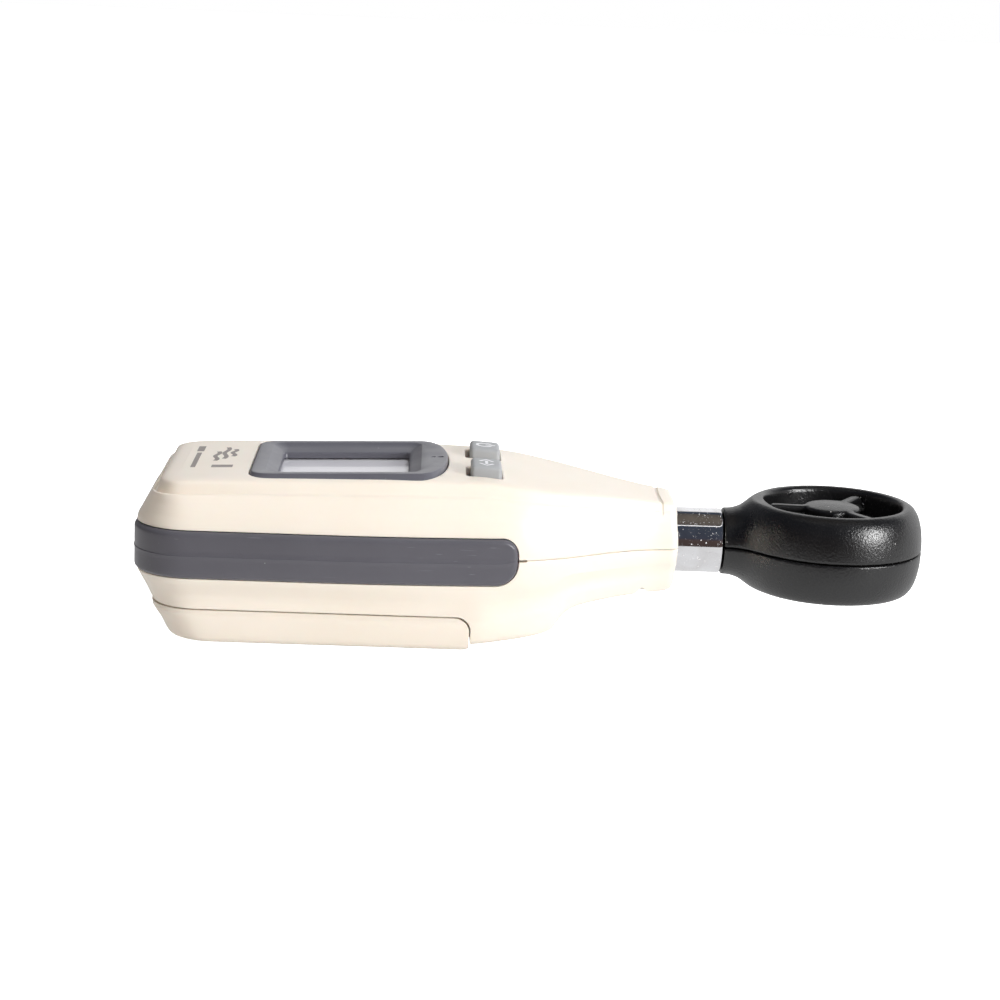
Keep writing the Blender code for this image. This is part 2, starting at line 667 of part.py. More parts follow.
def make_keys(grey, steel):
    middle_x = (KEY_TAIL_X + KEY_FRONT_X) / 2
    for name, side in (("mode", -1), ("power", 1)):
        middle_y = side * KEY_MIDDLE_Y
        make_key(f"{name}_key", middle_y, grey)
        switch = box(f"key_switch_{name}", (middle_x - 3, middle_y - 3, BOARD_TOP_Z + GAP),
                     (middle_x + 3, middle_y + 3, 9.2), steel, 0.3)
        join(switch, rod(f"plunger_{name}", (middle_x, middle_y), "Z", 9.0, 9.7, 1.7, sides=16))


# ---- electronics ----
def make_board(green, black, white):
    low, high = BOARD_TOP_Z - BOARD_THICK, BOARD_TOP_Z
    outline = [(BOARD_TAIL_X, -BOARD_HALF_WIDTH + 2.5), (BOARD_TAIL_X + 2.5, -BOARD_HALF_WIDTH),
               (BOARD_SHOULDER_X, -BOARD_HALF_WIDTH), (BOARD_HEAD_X, -BOARD_END_HALF_WIDTH)]
    outline += [(x, -y) for x, y in reversed(outline)]
    board = prism("main_board", outline, "Z", low, high, green)
    for i, (x, y) in enumerate(BOARD_POSTS):
        for side in (1, -1):
            cut(board, rod(f"board_hole_{i}_{side}", (x, side * y), "Z", low - 1, high + 1, SCREW_HOLE_RADIUS,
                           sides=12))
    box("controller_chip", (35.0, -3.5, 4.6), (42.0, 3.5, low - GAP), black, 0.25)
    box("lead_socket", (85.5, -3.0, -1.6), (91.5, 3.0, low - GAP), white, 0.4)


def screw(name, place, seat_z, tip_z, steel):
    """A pan head screw that rises from its seat to its tip, with a cross slot under its head."""
    x, y = place
    top = seat_z - GAP
    foot = top - SCREW_HEAD_HEIGHT
    profile = ((0.0, foot), (SCREW_HEAD_RADIUS * 0.75, foot),
               (SCREW_HEAD_RADIUS, foot + SCREW_HEAD_HEIGHT * 0.4), (SCREW_HEAD_RADIUS, top),
               (SCREW_RADIUS, top), (SCREW_RADIUS, tip_z - 0.6), (0.0, tip_z))
    body = turned(name, profile, "Z", (x, y, 0.0), steel, sides=12)
    for i, (wide, narrow) in enumerate(((1.0, 0.2), (0.2, 1.0))):
        cut(body, box(f"{name}_slot_{i}", (x - wide, y - narrow, foot - 1), (x + wide, y + narrow, foot + 0.6)))


def make_screws(steel):
    number = 1
    for place, seat in ((TAIL_SCREW, TAIL_SEAT_Z), (NOSE_SCREW, NOSE_SEAT_Z)):
        for side in (1, -1):
            screw(f"case_screw_{number}", (place[0], side * place[1]), seat, SCREW_TIP_Z, steel)
            number += 1
    number = 1
    for x, y in BOARD_POSTS:
        for side in (1, -1):
            screw(f"board_screw_{number}", (x, side * y), BOARD_TOP_Z - BOARD_THICK, BOARD_SCREW_TIP_Z, steel)
            number += 1


def make_spring(name, y, plate_x, towards, steel):
    """A conical contact spring from a plate towards its cell."""
    turns, steps = 2.5, 9
    length, wire = 3.2, 0.3
    curve = bpy.data.curves.new(name, "CURVE")
    curve.dimensions = "3D"
    curve.bevel_depth = wire / 1000
    curve.bevel_resolution = 1
    curve.use_fill_caps = True
    count = int(turns * steps) + 1
    spline = curve.splines.new("POLY")
    spline.points.add(count - 1)
    for i in range(count):
        share = i / (count - 1)
        angle = 2 * math.pi * turns * share
        radius = 3.6 - 1.4 * share
        x = plate_x + towards * (wire + (length - 2 * wire) * share)
        point = model(x, y + radius * math.cos(angle), CELL_AXIS_Z + radius * math.sin(angle))
        spline.points[i].co = (*point, 1.0)
    curve.materials.append(steel)
    spring = bpy.data.objects.new(name, curve)
    bpy.context.scene.collection.objects.link(spring)


def make_batteries(sleeve, steel):
    """Three cells in series, side by side, with the middle one turned round."""
    tail_plate = POCKET_TAIL_X + GAP
    head_plate = POCKET_HEAD_X - GAP
    face = {1: head_plate - PLATE_THICK - GAP, -1: tail_plate + PLATE_THICK + GAP}
    for i, (slot, towards) in enumerate(((-1, 1), (0, -1), (1, 1)), start=1):
        y = slot * CELL_PITCH
        tip = face[towards]
        shoulder = tip - towards * CELL_NUB
        foot = tip - towards * CELL_LENGTH
        round_edge = 0.5
        profile = ((0.0, foot), (CELL_RADIUS - round_edge, foot), (CELL_RADIUS, foot + towards * round_edge),
                   (CELL_RADIUS, shoulder - towards * round_edge), (CELL_RADIUS - round_edge, shoulder),
                   (1.9, shoulder), (1.9, tip), (0.0, tip))
        turned(f"battery_{i}", profile, "X", (0.0, y, CELL_AXIS_Z), sleeve, sides=28)
        make_spring(f"battery_spring_{i}", y, face[-towards], towards, steel)
    low_z, high_z = CELL_AXIS_Z - 4.2, CELL_AXIS_Z + 4.2
    reach = 4.6
    plates = (("negative_tab", tail_plate, -CELL_PITCH, -CELL_PITCH),
              ("link_plate_tail", tail_plate, 0.0, CELL_PITCH),
              ("link_plate_head", head_plate - PLATE_THICK, -CELL_PITCH, 0.0),
              ("positive_tab", head_plate - PLATE_THICK, CELL_PITCH, CELL_PITCH))
    for name, x, first_y, last_y in plates:
        box(name, (x, first_y - reach, low_z), (x + PLATE_THICK, last_y + reach, high_z), steel)


# ---- neck ----
def tube(name, axis, centre, outer, inner, low, high, material, sides=40):
    profile = [(outer, low), (outer, high), (inner, high), (inner, low)]
    return turned(name, profile, axis, centre, material, sides)


def make_neck(chrome, nylon, steel, black):
    tube("neck_bush", "X", (0, 0, 0), BUSH_RADIUS, TUBE_RADIUS + GAP, BUSH_TAIL_X, BUSH_FRONT_X, nylon)
    inner = TUBE_RADIUS - TUBE_WALL
    neck = tube("neck_tube", "X", (0, 0, 0), TUBE_RADIUS, inner, TUBE_TAIL_X, COLLAR_X - GAP, chrome)
    retainer = tube("retaining_ring", "X", (0, 0, 0), RETAINER_RADIUS, TUBE_RADIUS + GAP, *RETAINER_X, steel)
    lead = rod("head_lead", (0, 0), "X", BOARD_HEAD_X + GAP, 126.8, 1.3, black, sides=12)
    return [neck, retainer, lead]


# ---- head ----
def half_section(x, half_width, height, power, side, steps=10):
    """One closed section across the neck: a half superellipse on the parting plane."""
    points = []
    for i in range(steps + 1):
        angle = math.pi * i / steps
        c, s = math.cos(angle), math.sin(angle)
        y = half_width * math.copysign(abs(c) ** (2 / power), c)
        z = HALF_GAP + (height - HALF_GAP) * max(s, 0.0) ** (2 / power)
        points.append((x, y, side * z))
    return points


def ring_profile(side):
    """Section of a ring half: rounded outside, a crest, a small lip and the straight bore."""
    points = []
    for i in range(7):
        angle = math.pi / 2 * i / 6
        power = 2 / RING_ROUNDNESS
        radius = RING_CREST_RADIUS + (RING_RADIUS - RING_CREST_RADIUS) * max(math.cos(angle), 0.0) ** power
        height = HALF_GAP + (RING_HALF_HEIGHT - HALF_GAP) * math.sin(angle) ** power
        points.append((radius, side * height))
    points += [(BORE_RADIUS + out, side * (RING_HALF_HEIGHT - down)) for out, down in RING_LIP]
    points += [(BORE_RADIUS, side * HALF_GAP)]
    return points


def arm(name, angle, side):
    """A guard arm from the hub to the bore, with its outer end bent towards the parting plane."""
    turn = Matrix.Rotation(math.radians(angle), 3, "Z")
    rings = []
    for radius, low, high in ARM_STATIONS:
        ring = []
        for y, z in ((-1, low), (1, low), (1, high), (-1, high)):
            edge = y * ARM_WIDTH / 2 * (0.8 if z == high else 1.0)
            spot = turn @ Vector((radius, edge, 0.0))
            ring.append((HEAD_X + spot.x, spot.y, side * z))
        rings.append(ring)
    return loft(name, rings)


def make_head_half(name, side, black, pockets=()):
    """A half of the head: ring, neck, spigot and guard, with pockets cut before it is hollowed."""
    centre = (HEAD_X, 0.0, 0.0)
    half = turned(name, ring_profile(side), "Z", centre, black, sides=44)
    flare = ((COLLAR_X, COLLAR_RADIUS, COLLAR_RADIUS, 2.0), (126.8, 7.3, 7.2, 2.0), (128.5, 8.2, 7.7, 2.1),
             (130.2, 9.3, 8.7, 2.2), (132.0, 10.7, 9.2, 2.3), (134.5, 13.0, 9.3, 2.4), (138.0, 14.6, 9.2, 2.4))
    neck = loft(f"{name}_flare", [half_section(*part, side) for part in flare])
    cut(neck, rod(f"{name}_flare_end", (HEAD_X, 0), "Z", -20.0, 20.0, RING_CREST_RADIUS, sides=44))
    join(half, neck)
    spigot = [half_section(x, SPIGOT_RADIUS, SPIGOT_RADIUS, 2.0, side) for x in (SPIGOT_TAIL_X, COLLAR_X + 2)]
    join(half, loft(f"{name}_spigot", spigot))
    hub = ((0.0, HUB_DOME_Z), (2.2, HUB_DOME_Z - 0.15), (4.2, HUB_DOME_Z - 0.7), (HUB_RADIUS, 7.4),
           (HUB_RADIUS, 5.4), (HUB_RADIUS - 0.4, HUB_INNER_Z), (0.0, HUB_INNER_Z))
    join(half, turned(f"{name}_hub", [(r, side * z) for r, z in hub], "Z", centre, None, sides=28))
    join(half, *[arm(f"{name}_arm_{i}", angle, side) for i, angle in enumerate(ARM_ANGLES)])
    seat = sorted((side * (HUB_INNER_Z - 0.4), side * 6.6))
    cut(half, rod(f"{name}_bearing_pocket", (HEAD_X, 0), "Z", *seat, JEWEL_RADIUS + GAP, sides=16), *pockets)

    hollow = ((15.8, -side), (17.7, -side), (17.7, side * 3.5), (16.9, side * 6.4), (15.8, side * 7.3))
    inside = turned(f"{name}_hollow", hollow, "Z", centre, None, sides=44)
    neck_inside = [[(x, -w, -side), (x, w, -side), (x, w * 0.6, side * h), (x, -w * 0.6, side * h)]
                   for x, w, h in ((126.6, 5.0, 4.6), (132.2, 8.0, 6.6))]
    join(inside, loft(f"{name}_neck_hollow", neck_inside),
         rod(f"{name}_lead_hole", (0, 0), "X", 110.0, 128.0, SPIGOT_BORE))
    cut(half, inside)
    return half


def make_head(black, jewel, green, lead_black):
    centre = (HEAD_X, 0.0, 0.0)
    upper = make_head_half("head_upper_shell", 1, black)
    pockets = (box("sensor_pocket", (HEAD_X - 4.8, -1.5, -6.5), (HEAD_X - 2.0, 1.5, -4.6)),
               rod("sensor_lead_hole", (0, -2.7), "X", HEAD_X - 16.4, HEAD_X - 13.8, 0.9, sides=12))
    lower = make_head_half("head_lower_shell", -1, black, pockets)
    pieces = [upper, lower]
    dimple = ((0.0, 6.0), (0.8, 5.1), (JEWEL_RADIUS, 5.1), (JEWEL_RADIUS, 6.3), (0.0, 6.3))
    for name, side in (("upper", 1), ("lower", -1)):
        profile = [(r, side * z) for r, z in dimple]
        pieces.append(turned(f"jewel_bearing_{name}", profile, "Z", centre, jewel, sides=16))
    pieces.append(box("hall_sensor", (HEAD_X - 4.5, -1.2, -6.2), (HEAD_X - 2.3, 1.2, -5.2), lead_black))
    pieces.append(box("sensor_board", (127.2, -4.2, -0.6), (131.4, 4.2, 0.4), green))
    path = ((HEAD_X - 4.9, -4.75), (HEAD_X - 11.4, -4.6), (HEAD_X - 13.2, -3.6), (HEAD_X - 16.3, -2.2),
            (131.9, -1.6))
    curve = bpy.data.curves.new("sensor_lead", "CURVE")
    curve.dimensions = "3D"
    curve.bevel_depth = 0.35 / 1000
    curve.bevel_resolution = 1
    curve.use_fill_caps = True
    curve.materials.append(lead_black)
    spline = curve.splines.new("POLY")
    spline.points.add(len(path) - 1)
    for point, (x, z) in zip(spline.points, path):
        point.co = (*model(x, 0.0, z), 1.0)
    wire = bpy.data.objects.new("sensor_lead", curve)
    bpy.context.scene.collection.objects.link(wire)
    return pieces + [wire]


# ---- impeller ----
def blade(name, angle):
    """A thin twisted blade from inside the hub to the tip."""
    turn = Matrix.Rotation(math.radians(angle), 3, "Z")
    rings = []
    for radius, chord, pitch in BLADE_STATIONS:
        along_chord = Vector((0.0, math.cos(math.radians(pitch)), math.sin(math.radians(pitch))))
        across = Vector((0.0, -along_chord.z, along_chord.y)) * 0.35
        ring = []
        for end, face in ((-0.5, -1), (0.5, -1), (0.5, 1), (-0.5, 1)):
            spot = turn @ (Vector((radius, 0.0, 0.0)) + along_chord * chord * end + across * face)
            ring.append((HEAD_X + spot.x, spot.y, spot.z))
        rings.append(ring)
    return loft(name, rings)


def make_impeller(black, steel, magnet):
    centre = (HEAD_X, 0.0, 0.0)
    high = IMPELLER_HUB_HALF
    wide = IMPELLER_HUB_RADIUS
    hub = ((AXLE_RADIUS + GAP, -high), (wide - 0.3, -high), (wide, 0.3 - high), (wide, high - 0.6),
           (wide - 0.7, high), (AXLE_RADIUS + GAP, high))
    impeller = turned("impeller", hub, "Z", centre, black, sides=28)
    join(impeller, *[blade(f"blade_{i}", 360.0 * i / BLADE_COUNT) for i in range(BLADE_COUNT)])
    pocket = ((1.3, -high - 1), (3.2, -high - 1), (3.2, -2.6), (1.3, -2.6))
    cut(impeller, turned("magnet_pocket", pocket, "Z", centre, None, sides=24))
    ring = tube("impeller_magnet", "Z", centre, 2.9, 1.6, -high + 0.1, -2.9, magnet, sides=24)
    spindle = ((0.0, -5.65), (0.1, -5.6), (AXLE_RADIUS, -5.0), (AXLE_RADIUS, 5.0), (0.1, 5.6), (0.0, 5.65))
    axle = turned("impeller_axle", spindle, "Z", centre, steel, sides=14)
    return [impeller, ring, axle]


def main():
    for old in list(bpy.data.objects):
        bpy.data.objects.remove(old)

    cream = paint("cream_plastic", (0.93, 0.87, 0.76), 0.42)
    dark_grey = paint("dark_grey_plastic", (0.13, 0.13, 0.15), 0.5)
    mid_grey = paint("mid_grey_plastic", (0.22, 0.22, 0.25), 0.42)
    key_grey = paint("key_grey_rubber", (0.45, 0.44, 0.45), 0.6)
    black = paint("black_plastic", (0.015, 0.015, 0.016), 0.4)
    clear = paint("clear_window", (0.63, 0.62, 0.66), 0.08)
    glass = paint("display_glass", (0.5, 0.52, 0.5), 0.15)
    white = paint("white_plastic", (0.85, 0.85, 0.82), 0.5)
    green = paint("board_green", (0.02, 0.16, 0.06), 0.5)
    rubber = paint("dark_rubber", (0.03, 0.03, 0.03), 0.8)
    steel = paint("nickel_steel", (0.6, 0.58, 0.55), 0.3, 1.0)
    chrome = paint("bright_chrome", (0.82, 0.82, 0.84), 0.08, 1.0)
    nylon = paint("natural_nylon", (0.8, 0.77, 0.68), 0.5)
    sleeve = paint("battery_sleeve", (0.06, 0.1, 0.3), 0.35)
    magnet = paint("dark_magnet", (0.08, 0.08, 0.09), 0.45, 0.6)
    jewel = paint("ruby_jewel", (0.45, 0.02, 0.06), 0.1)

    make_front_shell(cream)
    make_rear_shell(cream)
    make_battery_cover(cream)
    make_bumper_band(dark_grey)
    make_display(mid_grey, clear, glass, white, rubber)
    make_keys(key_grey, steel)
    make_board(green, rubber, white)
    make_screws(steel)
    make_batteries(sleeve, steel)

    head_pieces = make_neck(chrome, nylon, steel, rubber) + make_head(black, jewel, green, rubber)
    vane_pieces = make_impeller(black, steel, magnet)
    swivel = pivot("head_pivot", (COLLAR_X, 0.0, 0.0), head_pieces)
    spin = pivot("impeller_pivot", (HEAD_X, 0.0, 0.0), vane_pieces)
    spin.parent = swivel
    spin.location = spin.location - swivel.location


main()
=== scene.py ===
"""Looks for the handheld vane anemometer: finer outer pieces, moulded and plated materials, studio stage.

Design frame: millimetres, X from the tail to the head, Y across, Z up, Z = 0 on the parting plane.
"""

import functools
import json
import math

import bmesh
import bpy
import numpy as np
from mathutils import Matrix, Vector
from mathutils.bvhtree import BVHTree

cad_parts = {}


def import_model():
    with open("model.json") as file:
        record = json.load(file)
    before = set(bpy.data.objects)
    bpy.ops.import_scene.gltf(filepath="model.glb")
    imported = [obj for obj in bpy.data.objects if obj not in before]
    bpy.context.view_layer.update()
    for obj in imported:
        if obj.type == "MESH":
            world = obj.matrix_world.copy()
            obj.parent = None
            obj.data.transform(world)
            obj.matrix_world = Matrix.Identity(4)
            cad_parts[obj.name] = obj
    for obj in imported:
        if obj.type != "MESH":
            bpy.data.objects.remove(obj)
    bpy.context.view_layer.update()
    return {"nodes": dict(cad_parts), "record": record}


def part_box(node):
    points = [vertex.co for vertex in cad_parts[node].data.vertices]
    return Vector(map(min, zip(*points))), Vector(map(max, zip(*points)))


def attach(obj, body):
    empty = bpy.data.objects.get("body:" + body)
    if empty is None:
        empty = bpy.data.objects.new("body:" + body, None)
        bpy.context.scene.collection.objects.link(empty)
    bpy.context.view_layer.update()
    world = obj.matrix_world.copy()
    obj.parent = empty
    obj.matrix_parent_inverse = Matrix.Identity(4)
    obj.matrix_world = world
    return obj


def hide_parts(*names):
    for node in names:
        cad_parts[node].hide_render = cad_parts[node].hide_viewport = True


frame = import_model()
nodes = frame["nodes"]

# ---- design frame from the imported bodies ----
GAP = 0.3
HALF_GAP = GAP / 2
SEAM = 0.07  # half the fine line between the case's halves
TAIL_X = 2.8  # tail of the cream case at the parting plane
BAND_PROUD = 0.55
LEAD_AXIS_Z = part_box("neck_tube")[0].z + (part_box("neck_tube")[1].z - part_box("neck_tube")[0].z) / 2
SHIFT = Vector((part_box("bumper_band")[0].x * 1000 - (TAIL_X - BAND_PROUD), 0.0, LEAD_AXIS_Z * 1000))


def world(x, y, z):
    """A point of the design frame in the frame's metres."""
    return (Vector((x, y, z)) + SHIFT) / 1000


def design_box(node):
    """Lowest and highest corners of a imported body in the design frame."""
    return [corner * 1000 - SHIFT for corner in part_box(node)]


NOSE_X = design_box("front_shell")[1].x
COVER_LOW, COVER_HIGH = design_box("battery_cover")
REST_DEPTH = -COVER_LOW.z
BAND_LOW, BAND_HIGH = design_box("bumper_band")
BEZEL_LOW, BEZEL_HIGH = design_box("lcd_bezel")
TUBE_LOW, TUBE_HIGH = design_box("neck_tube")
HEAD_HIGH = design_box("head_upper_shell")[1]
HUB_LOW, HUB_HIGH = design_box("impeller_axle")
HEAD_X = (HUB_LOW.x + HUB_HIGH.x) / 2
RING_RADIUS = HEAD_HIGH.x - HEAD_X
RING_HALF_HEIGHT = HEAD_HIGH.z
COLLAR_X = TUBE_HIGH.x + GAP
TUBE_RADIUS = TUBE_HIGH.z

# ---- case form ----
HALF_WIDTH = ((13, 27.5), (45, 27.4), (66, 26.4), (80, 24.9), (90, 21.2), (97, 16.9), (104, 13.0),
              (111, 10.6), (116, 10.0))
LOW_HALF_WIDTH = ((13, 24.4), (72, 24.4), (80, 22.6), (90, 18.6), (97, 15.0), (104, 12.0), (111, 10.0),
                  (116, 9.4))
TOP_HEIGHT = ((2, 13.6), (12, 14.0), (22, 14.4), (45, 15.0), (60, 15.3), (72, 15.2), (80, 14.4), (90, 12.9),
              (100, 11.4), (110, 9.9), (116, 9.2))
BOTTOM_DEPTH = ((2, 18.9), (70, 18.9), (76, 18.4), (80, 18.0), (84, 17.5), (87, 16.9), (88.8, 16.1),
                (90.4, 13.9), (91.6, 12.6), (94, 11.6), (98, 10.9), (107, 9.8), (116, 9.1))
TAIL_CORNER = 11.5
NOSE_CORNER = 1.6
TAPER = (66.0, 112.0, 0.36)  # start, end, share of a side inset left at the nose
LEDGE = (12.0, 36.0, 0.16)  # the ledge's full depth ends, its fading ends, share left
# Share of the height, insets from side, tail and nose, what the ledge adds to share and side, tail corner
UPPER = ((0.05, 0.0, 0.0, 0.0, 0.0, 0.0, 11.5), (0.20, 0.25, -0.1, 0.08, 0.0, 0.0, 11.4),
         (0.36, 0.8, -0.1, 0.2, 0.0, 0.0, 11.2), (0.43, 1.2, 0.12, 0.28, 0.0, 0.0, 10.9),
         (0.50, 1.6, 0.75, 0.35, 0.0, 0.0, 10.4), (0.58, 2.1, 1.35, 0.42, 0.0, 0.0, 9.6),
         (0.66, 2.8, 1.95, 0.45, 0.0, 0.0, 8.8), (0.765, 3.75, 2.75, 0.45, 0.0, 0.0, 6.9),
         (0.79, 4.05, 3.05, 0.47, 0.005, 0.0, 6.4), (0.80, 4.3, 3.3, 0.5, 0.0, 0.25, 6.2),
         (0.835, 4.75, 3.8, 0.53, -0.07, 0.8, 5.9), (0.90, 5.5, 4.2, 0.65, -0.04, 0.45, 5.5),
         (0.96, 6.4, 4.75, 0.95, 0.0, 0.0, 5.4), (0.987, 7.9, 6.1, 1.4, 0.0, 0.0, 5.4),
         (0.996, 10.4, 8.2, 2.2, 0.0, 0.0, 5.6))
CREST = 8  # of the upper levels: the ledge's edge
LOWER = ((0.30, 0.0, 0.0, 0.15, 11.0), (0.60, 0.25, 2.55, 0.4, 10.0), (0.70, 0.1, 3.9, 0.5, 9.5),
         (0.80, 0.5, 5.25, 0.6, 9.0), (0.90, 1.1, 6.2, 0.9, 8.6), (0.95, 1.6, 6.85, 1.2, 8.2),
         (0.98, 2.3, 7.6, 1.7, 8.0), (0.995, 3.2, 8.5, 2.4, 8.0), (1.0, 4.4, 9.8, 3.2, 8.0))
BAND_TOP_Z = BAND_HIGH.z
BAND_BOTTOM_Z = BAND_LOW.z
BAND_END_X = BAND_HIGH.x
BAND_GAP = 0.2
BAND_BACK = 1.9  # how far in the band's hidden back lies
COVER_SPLIT_Z = COVER_HIGH.z
COVER_FRONT_X = COVER_HIGH.x
COVER_GAP = 0.3
FINE = (8, 14, 16, 36, 5, 6)  # steps: half tail, tail corner, straight, taper, nose corner, half nose
ROUGH = (2, 5, 4, 10, 2, 2)
CLEAR = 40.0  # past the case on every side
INSIDE_END_X = 103.0  # front end of the case's hollow
COVER_WALL = 1.8


def along(stations, x, column=1):
    """The value at x on a smooth curve through the stations that never overshoots them."""
    xs = [s[0] for s in stations]
    ys = [s[column] for s in stations]
    if x <= xs[0]:
        return ys[0]
    if x >= xs[-1]:
        return ys[-1]
    slopes = [(ys[i + 1] - ys[i]) / (xs[i + 1] - xs[i]) for i in range(len(xs) - 1)]
    i = max(k for k in range(len(xs) - 1) if xs[k] <= x)

    def tangent(k):
        if k in (0, len(xs) - 1):
            return slopes[0] if k == 0 else slopes[-1]
        before, after = slopes[k - 1], slopes[k]
        return 0.0 if before * after <= 0 else 2 * before * after / (before + after)

    width = xs[i + 1] - xs[i]
    t = (x - xs[i]) / width
    bend = tangent(i) * width * t * (1 - t) ** 2 - tangent(i + 1) * width * t * t * (1 - t)
    return ys[i] + (ys[i + 1] - ys[i]) * t * t * (3 - 2 * t) + bend


def dense(levels, steps):
    """More levels on smooth curves through the given ones."""
    tables = [[(i, level[c]) for i, level in enumerate(levels)] for c in range(len(levels[0]))]
    count = (len(levels) - 1) * steps
    return [tuple(along(table, i / steps) for table in tables) for i in range(count + 1)]


def between(low, high, steps):
    return [low + (high - low) * i / steps for i in range(steps + 1)]


def arc(centre, radius, start, end, steps):
    angles = [math.radians(a) for a in between(start, end, steps)]
    return [(centre[0] + radius * math.cos(a), centre[1] + radius * math.sin(a)) for a in angles]


def ease(x, low, high):
    t = min(max((x - low) / (high - low), 0.0), 1.0)
    return t * t * (3 - 2 * t)


def taper(x):
    return 1 + (TAPER[2] - 1) * ease(x, TAPER[0], TAPER[1])


def ledge(x):
    return 1 + (LEDGE[2] - 1) * ease(x, LEDGE[0], LEDGE[1])


# ---- mesh helpers ----
def soften(mesh, sharp):
    mesh.shade_smooth()
    mesh.set_sharp_from_angle(angle=math.radians(sharp))


def finish(name, bm, sharp=32.0):
    bmesh.ops.recalc_face_normals(bm, faces=bm.faces)
    mesh = bpy.data.meshes.new(name)
    bm.to_mesh(mesh)
    bm.free()
    soften(mesh, sharp)
    obj = bpy.data.objects.new(name, mesh)
    bpy.context.scene.collection.objects.link(obj)
    return obj


def bridge(bm, first, second):
    count = len(first)
    for i in range(count):
        j = (i + 1) % count
        bm.faces.new((first[i], first[j], second[j], second[i]))


def wall(rings):
    """A new mesh with faces between rings of design points, and its loops of vertices."""
    bm = bmesh.new()
    loops = [[bm.verts.new(world(*p)) for p in ring] for ring in rings]
    for first, second in zip(loops, loops[1:]):
        bridge(bm, first, second)
    return bm, loops


def loft(name, rings, looped=False, sharp=32.0):
    """A solid through rings of design points, capped or closed on itself."""
    bm, loops = wall(rings)
    if looped:
        bridge(bm, loops[-1], loops[0])
    else:
        bm.faces.new(loops[0])
        bm.faces.new(loops[-1])
    return finish(name, bm, sharp)


# Where two coordinates of a flat outline and one along an axis go
ALONG_AXIS = {"X": lambda a, b, c: (c, a, b), "Y": lambda a, b, c: (a, c, b), "Z": lambda a, b, c: (a, b, c)}


def prism(name, outline, axis, low, high):
    return loft(name, [[ALONG_AXIS[axis](a, b, c) for a, b in outline] for c in (low, high)])


def side_prism(name, outline):
    """A side view taken right across the case."""
    return prism(name, outline, "Y", -CLEAR, CLEAR)


def block(name, low, high):
    outline = [(low[0], low[1]), (high[0], low[1]), (high[0], high[1]), (low[0], high[1])]
    return prism(name, outline, "Z", low[2], high[2])


def rod(name, centre, axis, low, high, radius, sides=32):
    return prism(name, arc(centre, radius, 0, 360 - 360 / sides, sides - 1), axis, low, high)


def turned(name, profile, axis, centre, sides=96, sharp=32.0):
    """A closed profile of (radius, position) points turned round an axis through centre."""
    bm = bmesh.new()
    rings = []
    for radius, height in profile:
        turns = [2 * math.pi * i / sides for i in range(sides if radius else 1)]
        points = [ALONG_AXIS[axis](radius * math.cos(a), radius * math.sin(a), height) for a in turns]
        rings.append([bm.verts.new(world(*(Vector(p) + Vector(centre)))) for p in points])
    for first, second in zip(rings, rings[1:] + rings[:1]):
        if len(first) == 1 and len(second) == 1:
            continue
        if len(first) == 1 or len(second) == 1:
            tip, ring = (first[0], second) if len(first) == 1 else (second[0], first)
            for i in range(sides):
                bm.faces.new((ring[i], ring[(i + 1) % sides], tip))
            continue
        bridge(bm, first, second)
    return finish(name, bm, sharp)


def boolean(obj, operation, *others):
    for other in others:
        modifier = obj.modifiers.new(other.name, "BOOLEAN")
        modifier.operation = operation
        modifier.solver = "EXACT"
        modifier.object = other


def settle(obj, sharp=32.0):
    """Turns an object's modifiers into its mesh and deletes their cutters."""
    cutters = [m.object for m in obj.modifiers if m.type == "BOOLEAN"]
    graph = bpy.context.evaluated_depsgraph_get()
    mesh = bpy.data.meshes.new_from_object(obj.evaluated_get(graph))
    obj.modifiers.clear()
    obj.data = mesh
    soften(mesh, sharp)
    for cutter in cutters:
        bpy.data.objects.remove(cutter)
    return obj


# ---- case outlines ----
def case_ring(width, height, tail_x, nose_x, steps=FINE, corner=TAIL_CORNER):
    """A closed ring round the case: width(x) and height(x) give each point's Y and Z."""
    start_x = tail_x + corner
    edge = width(start_x) - corner
    half = [(tail_x, y) for y in between(0.0, edge, steps[0])]
    half += arc((start_x, edge), corner, 180, 90, steps[1])[1:]
    half += [(x, width(x)) for x in between(start_x, TAPER[0], steps[2])[1:]]
    end_x = nose_x - NOSE_CORNER
    half += [(x, width(x)) for x in between(TAPER[0], end_x, steps[3])[1:]]
    nose_edge = width(end_x) - NOSE_CORNER
    half += arc((end_x, nose_edge), NOSE_CORNER, 90, 0, steps[4])[1:]
    half += [(nose_x, y) for y in between(nose_edge, 0.0, steps[5])[1:]]
    ring = half + [(x, -y) for x, y in half[-2:0:-1]]
    return [(x, y, height(x)) for x, y in ring]


def body_ring(z, inset, nose_x=NOSE_X, steps=FINE):
    return case_ring(lambda x: along(HALF_WIDTH, x) - inset, lambda x: z, TAIL_X + inset,
                     nose_x - max(inset, 0.0) * 0.5 if nose_x == NOSE_X else nose_x, steps)


def upper_ring(level, inset=0.0, nose_x=NOSE_X, steps=FINE):
    share, side, tail, nose, more_share, more_side, corner = level
    return case_ring(
        lambda x: along(HALF_WIDTH, x) - (side + more_side * ledge(x)) * taper(x) - inset,
        lambda x: (share + more_share * ledge(x)) * along(TOP_HEIGHT, x) - inset,
        TAIL_X + tail + inset, nose_x - nose, steps, corner)


def lower_ring(level, depth, inset=0.0, nose_x=NOSE_X, steps=FINE):
    share, side, tail, nose, corner = level
    blend = ease(share, 0.26, 0.55)
    return case_ring(
        lambda x: (along(HALF_WIDTH, x) - 0.5 * taper(x)) * (1 - blend)
        + (along(LOW_HALF_WIDTH, x) - side * taper(x)) * blend - inset,
        lambda x: -share * depth(x), TAIL_X + tail + inset, nose_x - nose, steps, corner)


